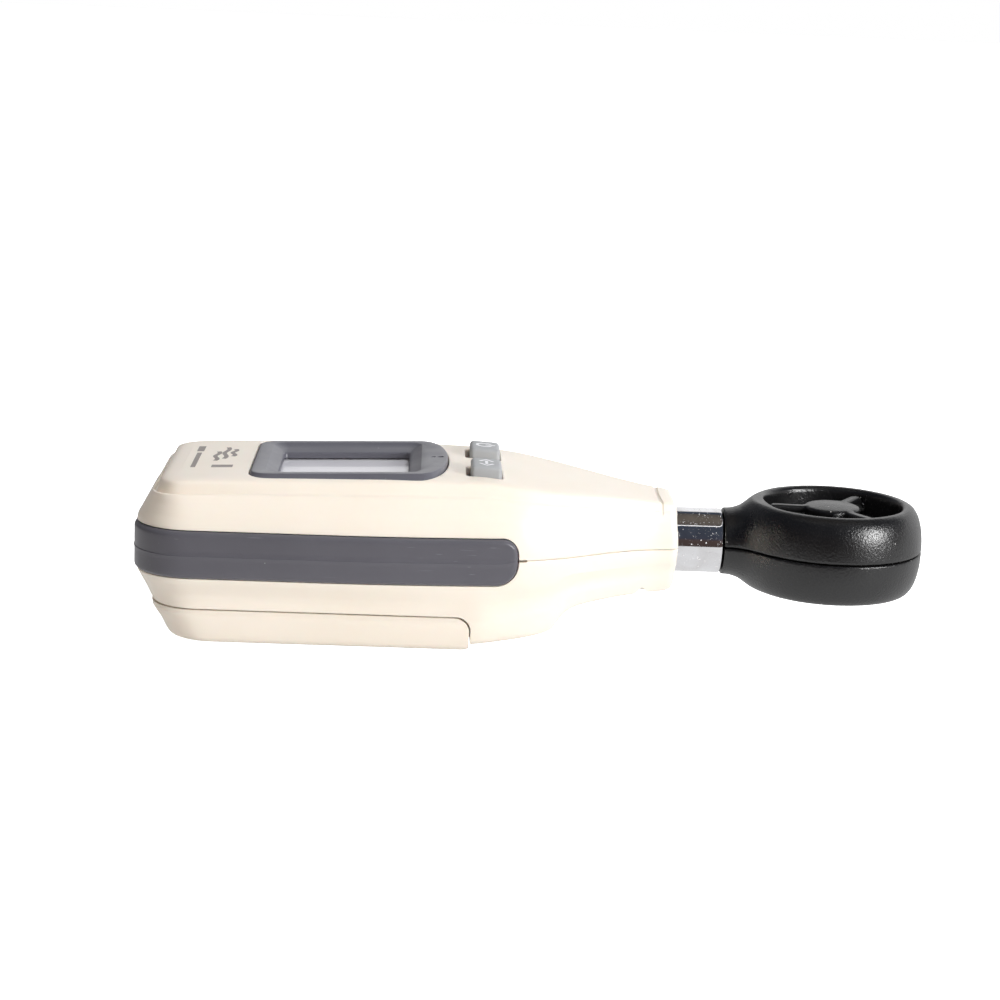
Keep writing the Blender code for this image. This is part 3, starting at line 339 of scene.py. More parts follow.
def crowned(name, rings, crown, steps=FINE, share=None):
    """A case solid through rings, closed over a middle line at height crown(x)."""
    last = rings[-1]
    half = len(last) // 2
    start, end = steps[0] + 1, half - steps[5] - 1
    low_x, high_x = last[start][0], last[end][0]
    if share:
        for f in (0.15, 0.3, 0.45, 0.6, 0.75, 0.88):
            rise = share + (1 - share) * (1 - (1 - f) ** 2)
            ring = []
            for x, y, _ in last:
                middle = min(max(x, low_x), high_x)
                spot = x + (middle - x) * f
                ring.append((spot, y * (1 - f), rise * crown(spot)))
            rings = rings + [ring]
    bm, loops = wall(rings)
    bm.faces.new(loops[0])
    top = loops[-1]
    xs = [point[0] for point in rings[-1]]
    middle = {i: bm.verts.new(world(xs[i], 0.0, crown(xs[i]))) for i in range(start, end + 1)}
    for side in (1, -1):
        bm.faces.new([top[side * i] for i in range(start + 1)] + [middle[start]])
        for i in range(start, end):
            bm.faces.new((top[side * i], top[side * (i + 1)], middle[i + 1], middle[i]))
        bm.faces.new([top[side * i] for i in range(end, half)] + [top[half], middle[end]])
    return finish(name, bm)


def surface(obj):
    """A function that gives the height of an object's upper side at a design x, y."""
    mesh = obj.data
    tree = BVHTree.FromPolygons([v.co for v in mesh.vertices], [tuple(p.vertices) for p in mesh.polygons])

    def height(x, y):
        hit = tree.ray_cast(world(x, y, CLEAR), Vector((0, 0, -1)))[0]
        return hit.z * 1000 - SHIFT.z if hit else 0.0

    return height


def grown(outline, amount):
    """A closed flat outline moved outwards along its own normals."""
    following = outline[1:] + outline[:1]
    area = sum(x * next_y - next_x * y for (x, y), (next_x, next_y) in zip(outline, following))
    turn = 1 if area > 0 else -1
    result = []
    for before, (x, y), after in zip(outline[-1:] + outline[:-1], outline, following):
        way = (Vector(after) - Vector(before)).normalized()
        result.append((x + way.y * amount * turn, y - way.x * amount * turn))
    return result


def draped_cutter(name, outline, height, bottom_z, edge):
    """A cutter whose upper end flares as a rounded edge exactly where it leaves the surface."""
    rings = [[(x, y, bottom_z) for x, y in outline]]
    for angle in map(math.radians, (0, 30, 60, 90)):
        down = edge * (1 - math.sin(angle))
        rings.append([(x, y, height(x, y) - down) for x, y in grown(outline, edge * (1 - math.cos(angle)))])
    rings.append([(x, y, height(x, y) + 4.0) for x, y in grown(outline, edge * 1.02)])
    return loft(name, rings)


def rounded_box(x0, x1, y0, y1, radius, steps=6):
    corners = ((x0 + radius, y0 + radius), (x0 + radius, y1 - radius), (x1 - radius, y1 - radius),
               (x1 - radius, y0 + radius))
    return [point for turn, centre in zip((270, 180, 90, 0), corners)
            for point in arc(centre, radius, turn, turn - 90, steps)]


# ---- display frame ----
PANEL_TILT = math.tan(math.radians(2.0))
PANEL_MIDDLE_X = 45.0
BEZEL_EDGE_X = 60.0
BEZEL_TAIL_X = BEZEL_LOW.x
BEZEL_HALF_WIDTH = BEZEL_HIGH.y
BEZEL_TIP_X = BEZEL_HIGH.x
BEZEL_TOP_Z = 15.45
BEZEL_BOTTOM_Z = 13.0
BEZEL_CORNER = 4.0
FUNNEL = (28.4, 60.6, 15.5)  # tail edge, front edge and half-width of the sloping recess
WINDOW_OPENING = (31.0, 57.9, 10.0)
LAMP_X = 63.1
FOOT = 1.6  # how far the frame's sides flare out at their foot


def tilted(x, z):
    return z + PANEL_TILT * (x - PANEL_MIDDLE_X)


def bezel_outline(inset, steps=12):
    """The frame's outline: rounded tail corners and a half-oval end towards the keys."""
    tail, wide, tip = BEZEL_TAIL_X + inset, BEZEL_HALF_WIDTH - inset, BEZEL_TIP_X - inset
    corner = max(BEZEL_CORNER - inset, 0.4)
    points = arc((tail + corner, -wide + corner), corner, 270, 180, steps)
    points += arc((tail + corner, wide - corner), corner, 180, 90, steps)
    power = 2 / 2.15
    for i in range(2 * steps + 2):
        angle = math.pi / 2 - math.pi * i / (2 * steps + 1)
        c, s = math.cos(angle), math.sin(angle)
        points.append((BEZEL_EDGE_X + (tip - BEZEL_EDGE_X) * max(c, 0.0) ** power,
                       math.copysign(wide * abs(s) ** power, s)))
    return points


def flared(foot, gap=0.0):
    """The frame's outline with its two sides moved out, as its wall is at its foot."""
    wide = 1 + foot / BEZEL_HALF_WIDTH
    return [(x, y * wide) for x, y in bezel_outline(-gap)]


def make_bezel():
    def opening(edges, inset, corner):
        tail, front, wide = edges
        return rounded_box(tail + inset, front - inset, -wide + inset, wide - inset, corner, 12)

    top = BEZEL_TOP_Z
    rows = [(flared(FOOT), BEZEL_BOTTOM_Z), (flared(FOOT), top - 1.05), (flared(0.3), top - 0.42)]
    rows += [(bezel_outline(inset), top - drop) for inset, drop in ((0.06, 0.2), (0.2, 0.04), (0.42, 0.0),
                                                                    (0.8, 0.02))]
    rows += [(opening(FUNNEL, inset, corner), top - drop)
             for inset, drop, corner in ((0.0, 0.04, 2.6), (0.15, 0.12, 2.5), (0.35, 0.24, 2.4),
                                         (1.9, 0.92, 1.6))]
    rows += [(opening(WINDOW_OPENING, -outset, 0.9), z)
             for outset, z in ((0.35, 14.3), (0.15, 14.18), (0.0, 13.9), (0.0, BEZEL_BOTTOM_Z))]
    rings = [[(x, y, tilted(x, z)) for x, y in outline] for outline, z in rows]
    bezel = loft("bezel_frame", rings, looped=True, sharp=50)
    hole = rod("lamp_hole", (LAMP_X, 0.0), "Z", 14.0, 20.0, 0.5, 24)
    slot = prism("mark_slot", rounded_box(LAMP_X + 0.8, LAMP_X + 2.2, -0.6, 0.6, 0.5), "Z", 15.3, 20.0)
    boolean(bezel, "DIFFERENCE", hole, slot)
    return settle(bezel, 40)


# ---- front shell ----
KEYS = {"mode_key": design_box("mode_key"), "power_key": design_box("power_key")}
KEY_TAIL_X, KEY_FRONT_X, KEY_HALF_WIDTH = 70.9, 77.3, 4.6
KEY_TOP_Z = KEYS["mode_key"][1].z
KEY_FALL = math.tan(math.radians(3.0))
GROOVE_X, GROOVE_REACH, GROOVE_DEPTH, GROOVE_RADIUS = 110.9, 9.4, 0.46, 0.5


def key_middle(name):
    low, high = KEYS[name]
    return (low.y + high.y) / 2


def key_outline(name, inset, corner, tail_gap=0.0):
    y, wide = key_middle(name), KEY_HALF_WIDTH - inset
    return rounded_box(KEY_TAIL_X + inset - tail_gap, KEY_FRONT_X - inset, y - wide, y + wide, corner)


def band_groove(name):
    """What both shells lose for the band and its gap."""
    low, high = BAND_BOTTOM_Z - BAND_GAP, BAND_TOP_Z + BAND_GAP
    section = ((-3.0, low), (-3.0, high), (2.2, high), (2.2, low))
    strip = loft(name, [body_ring(z, inset) for inset, z in section], looped=True)
    reach = BAND_END_X + BAND_GAP
    outline = [(-20.0, high + 0.03), (-20.0, low - 0.03)]
    outline += arc((reach - 4.7, low + 4.67), 4.7, -90, 0, 14)
    outline += arc((reach - 3.6, high - 3.57), 3.6, 0, 90, 14)
    boolean(strip, "INTERSECT", side_prism(f"{name}_side", outline))
    boolean(strip, "UNION", block(f"{name}_nick", (reach - 0.4, -CLEAR, -0.25), (reach + 1.6, CLEAR, 0.25)))
    return settle(strip)


def neck_cutter(name):
    """The tube's hole with a rounded mouth, and the bush's pocket."""
    wide = TUBE_RADIUS + GAP
    mouth = NOSE_X
    profile = [(0.0, 98.0), (wide, 98.0), (wide, 108.3), (8.4, 108.3), (8.4, 112.6), (wide, 112.6),
               (wide, mouth - 0.35), (wide + 0.1, mouth - 0.12), (wide + 0.35, mouth + 0.02),
               (wide + 0.35, 120.0), (0.0, 120.0)]
    return turned(name, profile, "X", (0, 0, 0), 72)


def make_front_shell():
    rings = [body_ring(SEAM, 0.12), body_ring(SEAM + 0.04, 0.04), body_ring(SEAM + 0.12, 0.0)]
    rings += [upper_ring(level) for level in dense(UPPER, 3)]
    shell = crowned("front_case", rings, lambda x: along(TOP_HEIGHT, x), share=0.996)
    height = surface(shell)

    boolean(shell, "DIFFERENCE", draped_cutter("bezel_opening", flared(FOOT, 0.2), height, 8.0, 0.25))
    for name in KEYS:
        outline = key_outline(name, -0.2, 1.0, tail_gap=0.75)
        boolean(shell, "DIFFERENCE", draped_cutter(f"{name}_slot", outline, height, 5.0, 0.3))
    groove = []
    for share in between(0.0, 1.0, 32):
        y = -GROOVE_REACH + 2 * GROOVE_REACH * share
        depth = GROOVE_DEPTH * math.sin(math.pi * share) ** 0.4
        x = GROOVE_X + 0.5 * (y / GROOVE_REACH) ** 2
        tilt = (height(x, y + 0.2) - height(x, y - 0.2)) / 0.4
        normal = Vector((0.0, -tilt, 1.0)).normalized()
        centre = Vector((x, y, height(x, y))) + normal * (GROOVE_RADIUS - depth)
        groove.append([tuple(centre + Vector((GROOVE_RADIUS * math.cos(a), 0, 0))
                             + normal * GROOVE_RADIUS * math.sin(a))
                       for a in [2 * math.pi * k / 14 for k in range(14)]])
    boolean(shell, "DIFFERENCE", loft("nose_groove", groove), band_groove("front_band_groove"),
            neck_cutter("front_neck"))
    hollow = [body_ring(z, 3.8, INSIDE_END_X, ROUGH) for z in (-2.0, 4.0)]
    hollow += [upper_ring(UPPER[i], 2.0, INSIDE_END_X, ROUGH) for i in (CREST, -1)]
    boolean(shell, "DIFFERENCE", crowned("front_hollow", hollow, lambda x: along(TOP_HEIGHT, x) - 2.0, ROUGH))
    return settle(shell), height


# ---- rear shell and battery cover ----
def shell_depth(x):
    return along(BOTTOM_DEPTH, x)


def hollow_depth(x):
    return min(shell_depth(x) - COVER_WALL, 16.0)


def cover_zone(name, grow, steps=12):
    """The region of the battery cover in side view; the cover's own lower front edge is eased."""
    radius = 3.0
    front, top = COVER_FRONT_X + grow, COVER_SPLIT_Z + grow
    outline = [(-20.0, top), (-20.0, -CLEAR)]
    if grow:
        outline.append((front, -CLEAR))
    else:
        outline += [(front - 3.2 * (1 - t), -REST_DEPTH - 0.02 + 0.85 * t * t) for t in between(0, 1, 10)]
    outline += arc((front - radius, top - radius), radius, 0, 90, steps)
    return side_prism(name, outline)


def cover_form(name, inset):
    """The battery cover's form moved in."""
    rings = [body_ring(-3.0, inset + 2.2, 75.0)]
    rings += [lower_ring(level, lambda x: REST_DEPTH - inset, inset, 75.0) for level in dense(LOWER[1:], 2)]
    return crowned(name, rings, lambda x: inset - REST_DEPTH)


def make_rear_shell():
    rings = [body_ring(-SEAM, 0.12), body_ring(-SEAM - 0.04, 0.04), body_ring(-SEAM - 0.12, 0.0),
             body_ring(-2.0, 0.12), body_ring(-3.6, 0.3)]
    rings += [lower_ring(level, shell_depth) for level in dense(LOWER, 4)]
    shell = crowned("rear_case", rings, lambda x: -shell_depth(x))
    boolean(shell, "DIFFERENCE", cover_zone("cover_recess", COVER_GAP))
    core = cover_form("rear_core", 2.1)
    boolean(shell, "UNION", core)
    settle(shell)

    boolean(shell, "DIFFERENCE", block("pocket", (19.0, -17.2, -30.0), (69.4, 17.2, -6.8)),
            band_groove("rear_band_groove"), neck_cutter("rear_neck"))
    for number, seat in (("1", -13.5), ("2", -13.5), ("3", -7.4), ("4", -7.4)):
        low, high = design_box(f"case_screw_{number}")
        x, y = (low.x + high.x) / 2, (low.y + high.y) / 2
        boolean(shell, "DIFFERENCE", rod(f"recess_{number}", (x, y), "Z", -30.0, seat, 1.75, 28))
        if x > COVER_FRONT_X:
            boolean(shell, "DIFFERENCE", rod(f"mouth_{number}", (x, y), "Z", -30.0, seat - 0.9, 2.15, 36))
    hollow = [body_ring(z, inset, INSIDE_END_X, ROUGH) for z, inset in ((2.0, 3.8), (BAND_BOTTOM_Z, 4.3))]
    hollow += [lower_ring(LOWER[i], hollow_depth, 3.9, INSIDE_END_X, ROUGH) for i in (1, 5)]
    inside = crowned("rear_hollow", hollow, lambda x: -hollow_depth(x), ROUGH)
    boolean(inside, "DIFFERENCE", block("tray", (17.5, -18.7, -25.0), (70.9, 18.7, -5.3)))
    boolean(shell, "DIFFERENCE", settle(inside))
    return settle(shell)


def make_battery_cover():
    rings = [lower_ring((0.26, 0.0, 0.45, 0.25, 11.2), lambda x: REST_DEPTH)]
    for share, side, tail, nose, corner in dense(LOWER, 5):
        roll = 0.35 * (1 - ease(-share * REST_DEPTH, COVER_SPLIT_Z - 0.9, COVER_SPLIT_Z + 0.1))
        rings.append(lower_ring((share, side - roll, tail - roll, nose, corner), lambda x: REST_DEPTH))
    cover = crowned("battery_door", rings, lambda x: -REST_DEPTH)
    boolean(cover, "INTERSECT", cover_zone("cover_region", 0.0, 20))
    boolean(cover, "DIFFERENCE", cover_form("cover_inside", COVER_WALL))
    for i in range(5):
        x = COVER_FRONT_X - 9.0 + 1.5 * i
        reach = 6.0 - 0.7 * abs(i - 2)
        boolean(cover, "DIFFERENCE", rod(f"grip_{i}", (x, -REST_DEPTH - 0.25), "Y", -reach, reach, 0.55, 16))
    return settle(cover)


# ---- bumper band ----
def make_band():
    """Swept from one rounded end round the tail to the other, with rolled edges and a fine moulding line."""
    radii = (3.3, 4.4)  # upper and lower corner in side view
    start_x = TAIL_X + TAIL_CORNER
    straight = between(start_x, 72.0, 22)[1:]
    ends = [BAND_END_X - 9.0 * (1 - share) ** 1.6 for share in between(0.0, 1.0, 26)]
    stations = straight + [x for x in ends if x > 72.3]

    @functools.cache
    def path(inset):
        wide = along(HALF_WIDTH, start_x) - TAIL_CORNER - inset
        tail = TAIL_X + inset
        side = [(tail, y) for y in between(0.0, wide, 8)]
        side += arc((start_x + inset, wide), TAIL_CORNER, 180, 90, 20)[1:]
        side += [(x, along(HALF_WIDTH, x) - inset) for x in stations]
        return [(x, y) for x, y in side[:0:-1]] + [(x, -y) for x, y in side]

    def limits(x):
        """Upper and lower edge and how far the face has rolled in at x."""
        up = radii[0] - math.sqrt(max(radii[0] ** 2 - max(x - BAND_END_X + radii[0], 0.0) ** 2, 0.0))
        down = radii[1] - math.sqrt(max(radii[1] ** 2 - max(x - BAND_END_X + radii[1], 0.0) ** 2, 0.0))
        roll = 1.0 - math.sqrt(max(1 - max(x - BAND_END_X + 1.0, 0.0) ** 2, 0.0))
        return BAND_TOP_Z - up, BAND_BOTTOM_Z + down, roll

    rolled = [(1 - math.cos(a), 1 - math.sin(a)) for a in map(math.radians, between(0, 90, 7))]
    ledge_line = ((0.035, 0.0), (0.022, 0.035), (-0.005, 0.10), (-0.02, 0.095), (-0.13, 0.0))
    face = [(t, 0.0) for t in (0.75, 0.5, 0.30)]
    face += [(t - 0.02, lift) for t, lift in ledge_line] + [(t, 0.0) for t in (-0.3, -0.5, -0.75)]
    columns = [(1, None, 0.0)] + [(1, *pair) for pair in rolled[::-1]] + [(0, *pair) for pair in face]
    columns += [(-1, *pair) for pair in rolled] + [(-1, None, 0.0)]
    bm = bmesh.new()
    loops = []
    outer = path(0.0)
    for kind, first, second in columns:
        loop = []
        for i, (x, _) in enumerate(outer):
            high, low, roll = limits(x)
            middle, half = (high + low) / 2, (high - low) / 2
            if kind:
                depth, z = first, middle + kind * (half - second * min(1.0, half / 2))
            else:
                depth, z = -second, middle + first * (half - 1.0)
            inset = BAND_BACK if depth is None else round(-BAND_PROUD + depth + roll * 0.9, 3)
            loop.append(bm.verts.new(world(*path(inset)[i], z)))
        loops.append(loop)
    for first, second in zip(loops, loops[1:] + loops[:1]):
        for i in range(len(outer) - 1):
            bm.faces.new((first[i], first[i + 1], second[i + 1], second[i]))
    bm.faces.new([loop[0] for loop in loops])
    bm.faces.new([loop[-1] for loop in loops])
    return finish("side_bumper", bm, 40)


# ---- keys ----
def make_key(name):
    rings = []
    for inset, drop in ((0.0, 6.3), (0.0, 0.75), (0.06, 0.5), (0.22, 0.25), (0.45, 0.08), (0.75, 0.0),
                        (1.4, -0.02)):
        outline = key_outline(name, inset, max(0.9 - inset * 0.5, 0.2))
        rings.append([(x, y, KEY_TOP_Z - drop - KEY_FALL * (x - KEY_TAIL_X)) for x, y in outline])
    key = loft(f"{name}_cap", rings, sharp=40)
    low, high = KEYS[name]
    y = key_middle(name)
    boolean(key, "UNION", block(f"{name}_flange", (low.x, y - 4.0, 10.5), (high.x, y + 4.0, 11.5)))
    return settle(key, 40)


def key_surface(x, y):
    return KEY_TOP_Z - KEY_FALL * (x - KEY_TAIL_X) + 0.02


def ribbon(points, width):
    """Outline pairs of a flat stroke of a given width through 2-D points."""
    pairs = []
    for i, point in enumerate(points):
        way = (Vector(points[min(i + 1, len(points) - 1)]) - Vector(points[max(i - 1, 0)])).normalized()
        side = Vector((-way.y, way.x)) * width / 2
        pairs.append((Vector(point) + side, Vector(point) - side))
    return pairs


def print_strokes(name, strokes, height, thick=0.02):
    """Printed marks: thin flat strokes that lie on a surface. A stroke is (points, width)."""
    bm = bmesh.new()
    for points, width in strokes:
        rows = []
        for left, right in ribbon(points, width):
            corners = ((left, thick), (right, thick), (right, -0.05), (left, -0.05))
            rows.append([bm.verts.new(world(spot.x, spot.y, height(spot.x, spot.y) + lift))
                         for spot, lift in corners])
        for first, second in zip(rows, rows[1:]):
            bridge(bm, first, second)
        bm.faces.new(rows[0])
        bm.faces.new(rows[-1])
    return finish(name, bm)


# ---- neck ----
def make_tube():
    inner = TUBE_RADIUS - 0.8
    low, high = TUBE_LOW.x, TUBE_HIGH.x
    profile = [(inner, low), (TUBE_RADIUS - 0.3, low), (TUBE_RADIUS, low + 0.3)]
    profile += [(TUBE_RADIUS, x) for x in between(low + 2.0, high - 0.9, 14)]
    profile += [(TUBE_RADIUS, high - 0.45), (TUBE_RADIUS - 0.06, high - 0.2),
                (TUBE_RADIUS - 0.22, high - 0.05), (TUBE_RADIUS - 0.4, high), (inner, high)]
    return turned("plated_tube", profile, "X", (0, 0, 0), 128)


# ---- head: halves taken from a signed distance field ----
def smooth_union(a, b, k):
    h = np.clip(0.5 + 0.5 * (b - a) / k, 0, 1)
    return b * (1 - h) + a * h - k * h * (1 - h)


def smooth_cut(a, b, k):
    return -smooth_union(-a, -b, k)


def unit_field(field, step):
    """A field scaled so that it grows by one per millimetre near its surface."""
    gx, gy, gz = np.gradient(field, step)
    return field / np.maximum(np.sqrt(gx * gx + gy * gy + gz * gz), 1e-3)


FLARE = ((COLLAR_X, 7.1, 7.1, 2.0), (126.8, 7.25, 7.2, 2.0), (128.5, 7.9, 7.6, 2.1), (130.2, 9.0, 8.3, 2.2),
         (132.0, 10.5, 8.9, 2.3), (134.5, 12.6, 9.2, 2.4), (138.0, 14.2, 9.2, 2.4), (144.0, 14.5, 9.2, 2.4))
CREST_RADIUS = 15.9
BORE_RADIUS = 14.7
LIP_RADIUS = 1.3
GUARD_HUB_RADIUS = 5.9
ARM_ANGLES = (57.0, 180.0, 300.0)


def head_field(x, y, z, step):
    """Distance in millimetres from the head's surface; z counts from the parting plane."""
    radius = np.sqrt((x - HEAD_X) ** 2 + y ** 2)
    out = np.maximum(radius - CREST_RADIUS, 0.0) / (RING_RADIUS - CREST_RADIUS)
    high = np.abs(z) / RING_HALF_HEIGHT
    ring = unit_field((out ** 2.2 + high ** 2.2 + 1e-9) ** (1 / 2.2) - 1, step)
    inward = np.maximum(CREST_RADIUS - radius, 0.0)
    lip = np.sqrt(np.clip(1 - (inward / LIP_RADIUS) ** 2, 0.0, 1.0))
    lip = np.abs(z) - RING_HALF_HEIGHT + LIP_RADIUS - LIP_RADIUS * lip
    ring = np.where(radius < CREST_RADIUS, np.maximum(lip, -3.0), ring)
    xs = x[:, 0, 0]
    wide = np.array([along(FLARE, v, 1) for v in xs])[:, None, None]
    tall = np.array([along(FLARE, v, 2) for v in xs])[:, None, None]
    power = np.array([along(FLARE, v, 3) for v in xs])[:, None, None]
    flare = (np.abs(y) / wide) ** power + (np.abs(z) / tall) ** power + 1e-9
    flare = unit_field(flare ** (1 / power) - 1, step)
    flare = np.maximum(flare, x - 143.0)
    body = smooth_union(ring, flare, 1.6)
    spigot = np.sqrt(y ** 2 + z ** 2)
    body = smooth_cut(body, COLLAR_X - x, 0.25)
    body = smooth_cut(body, BORE_RADIUS - radius, 0.3)

    dome = z - (9.0 - 0.018 * radius ** 2)
    hub = smooth_cut(smooth_cut(radius - GUARD_HUB_RADIUS, dome, 0.55), 5.0 - z, 0.5)
    nub = np.sqrt((x - HEAD_X + 0.2) ** 2 + (y + 6.6) ** 2 + (z - 7.2) ** 2) - 0.85
    hub = smooth_union(hub, nub, 0.3)
    arms = None
    for degrees in ARM_ANGLES:
        turn = math.radians(degrees)
        out = (x - HEAD_X) * math.cos(turn) + y * math.sin(turn)
        across = -(x - HEAD_X) * math.sin(turn) + y * math.cos(turn)
        middle = np.interp(out, (0, 8.0, 11.6, 12.8, 13.6, 14.4, 16.0),
                           (7.45, 7.5, 7.6, 7.55, 6.9, 5.9, 4.6))
        half = np.interp(out, (0.0, 6.0, 12.0, 15.0), (1.35, 1.05, 1.0, 1.2))
        qx, qz = np.abs(across) - half + 0.5, np.abs(z - middle) - 0.85 + 0.5
        bar = np.sqrt(np.maximum(qx, 0) ** 2 + np.maximum(qz, 0) ** 2)
        bar = bar + np.minimum(np.maximum(qx, qz), 0) - 0.5
        bar = np.maximum(np.maximum(bar, 2.0 - out), out - 15.4)
        arms = bar if arms is None else np.minimum(arms, bar)
    guard = smooth_union(hub, arms, 0.45)
    body = smooth_union(body, guard, 0.5)
    body = np.minimum(body, np.maximum(np.maximum(spigot - 5.8, 117.0 - x), x - 127.0))
    hollow = np.maximum(15.8 - radius, radius - 17.7)
    hollow = np.maximum(hollow, z - 7.3 + 0.55 * np.maximum(radius - 15.8, 0))
    reach = np.interp(x, (126.6, 132.2), (0.0, 1.0))
    inside = np.maximum(np.maximum(np.abs(y) - 4.6 - 2.6 * reach, z - 4.4 - 1.8 * reach), 126.8 - x)
    hollow = np.minimum(hollow, np.maximum(inside, x - 132.6))
    hollow = np.minimum(hollow, spigot - 4.4 + 20 * (x > 128.0))
    hollow = np.minimum(hollow, np.maximum(radius - 1.5, z - 6.6))
    body = np.maximum(body, -hollow)
    return smooth_cut(body, HALF_GAP - z, 0.25)


CELL_CORNERS = [(i, j, k) for i in (0, 1) for j in (0, 1) for k in (0, 1)]


def surface_net(field, origin, step):
    """Quads on a field's zero surface, one point in each cell that the surface crosses."""
    inside = field < 0
    shape = tuple(n - 1 for n in field.shape)

    def shifted(array, corner):
        return array[tuple(slice(c, c + n) for c, n in zip(corner, shape))]

    total = sum(shifted(inside, c).astype(np.int8) for c in CELL_CORNERS)
    cells = np.argwhere((total > 0) & (total < 8))
    number = -np.ones(shape, np.int64)
    number[tuple(cells.T)] = np.arange(len(cells))
    place = np.zeros((len(cells), 3))
    hits = np.zeros(len(cells))
    edges = [(a, b) for a in CELL_CORNERS for b in CELL_CORNERS
             if sum(b) == sum(a) + 1 and all(q >= p for p, q in zip(a, b))]
    for a, b in edges:
        first = field[tuple((cells + a).T)]
        second = field[tuple((cells + b).T)]
        crossed = (first < 0) != (second < 0)
        share = np.where(crossed, first / np.where(crossed, first - second, 1), 0)
        spot = np.array(a) + share[:, None] * (np.array(b) - np.array(a))
        place += np.where(crossed[:, None], spot, 0)
        hits += crossed
    points = origin + (cells + place / hits[:, None]) * step
    quads = []
    for axis in range(3):
        first = tuple(slice(None, -1) if i == axis else slice(None) for i in range(3))
        second = tuple(slice(1, None) if i == axis else slice(None) for i in range(3))
        change = inside[first] != inside[second]
        spots = np.argwhere(change)
        u, v = [i for i in range(3) if i != axis]
        spots = spots[(spots[:, u] > 0) & (spots[:, v] > 0)
                      & (spots[:, u] < field.shape[u] - 1) & (spots[:, v] < field.shape[v] - 1)]
        ring = []
        for du, dv in ((0, 0), (-1, 0), (-1, -1), (0, -1)):
            cell = spots.copy()
            cell[:, u] += du
            cell[:, v] += dv
            ring.append(number[tuple(cell.T)])
        quad = np.stack(ring, 1)
        starts_inside = inside[tuple(spots.T)]
        flip = starts_inside == (axis != 1)
        quad[flip] = quad[flip][:, ::-1]
        quads.append(quad)
    quads = np.concatenate(quads)
    return points, quads[(quads >= 0).all(1)]


def make_head_half(name, side, step=0.32):
    """One half of the head: side 1 is the upper, -1 its mirror image below."""
    low = np.array([116.4, -20.1, -0.35])
    high = np.array([HEAD_X + RING_RADIUS + 0.7, 20.1, RING_HALF_HEIGHT + 0.7])
    counts = np.ceil((high - low) / step).astype(int)
    axes = [low[i] + step * np.arange(counts[i]) for i in range(3)]
    x, y, z = np.meshgrid(*axes, indexing="ij")
    field = head_field(x, y, z, step)
    points, quads = surface_net(field, low, step)
    gradient = np.gradient(field, step)
    for _ in range(2):
        grid = (points - low) / step
        base = np.clip(np.floor(grid).astype(int), 0, np.array(field.shape) - 2)
        share = grid - base
        value = np.zeros(len(points))
        slope = np.zeros((len(points), 3))
        for corner in CELL_CORNERS:
            weight = np.prod(np.where(corner, share, 1 - share), axis=1)
            index = tuple((base + corner).T)
            value += weight * field[index]
            slope += weight[:, None] * np.stack([g[index] for g in gradient], 1)
        size = np.maximum((slope ** 2).sum(1), 0.25)
        move = np.clip(-value / size, -0.3 * step, 0.3 * step)[:, None] * slope
        points = points + move
    points[:, 2] = np.maximum(points[:, 2], HALF_GAP) * side
    points[:, 2] = np.clip(points[:, 2], -RING_HALF_HEIGHT, RING_HALF_HEIGHT)
    points[:, 0] = np.minimum(points[:, 0], HEAD_HIGH.x)
    mesh = bpy.data.meshes.new(name)
    mesh.from_pydata([world(*p) for p in points], [], quads.tolist())
    mesh.validate()
    bm = bmesh.new()
    bm.from_mesh(mesh)
    return finish(name, bm, 60)


# ---- impeller ----
BLADE_STATIONS = ((3.8, 5.4, 50.0), (6.8, 6.4, 44.0), (10.2, 7.3, 37.0), (13.5, 7.8, 31.0))
BLADE_SECTION = ((-0.5, 0.0), (-0.47, -0.2), (-0.25, -0.35), (0.0, -0.35), (0.25, -0.33), (0.47, -0.18),
                 (0.5, 0.0), (0.47, 0.18), (0.25, 0.33), (0.0, 0.35), (-0.25, 0.35), (-0.47, 0.2))


def make_impeller():
    """A hub and eight twisted blades; a station is radius, chord and pitch."""
    centre = (HEAD_X, 0.0, 0.0)
    wide, high = 4.3, 4.2
    hub = [(0.9, -high), (1.3, -high), (1.3, -2.6), (3.2, -2.6), (3.2, -high), (wide - 0.3, -high),
           (wide, 0.3 - high), (wide, high - 0.9), (wide - 0.15, high - 0.5), (wide - 0.5, high - 0.15),
           (wide - 0.9, high), (0.9, high)]
    impeller = turned("vane_wheel", hub, "Z", centre, 56)
    for i in range(8):
        turn = Matrix.Rotation(math.radians(45.0 * i), 3, "Z")
        rings = []
        for radius in between(3.8, 13.5, 9):
            chord, pitch = along(BLADE_STATIONS, radius, 1), math.radians(along(BLADE_STATIONS, radius, 2))
            way = Vector((0.0, math.cos(pitch), math.sin(pitch)))
            across = Vector((0.0, -way.z, way.y))
            ring = []
            for t, thick in BLADE_SECTION:
                spot = turn @ (Vector((radius, 0, 0)) + way * chord * t + across * thick)
                ring.append((HEAD_X + spot.x, spot.y, spot.z))
            rings.append(ring)
        boolean(impeller, "UNION", loft(f"blade_{i}", rings))
    return settle(impeller)


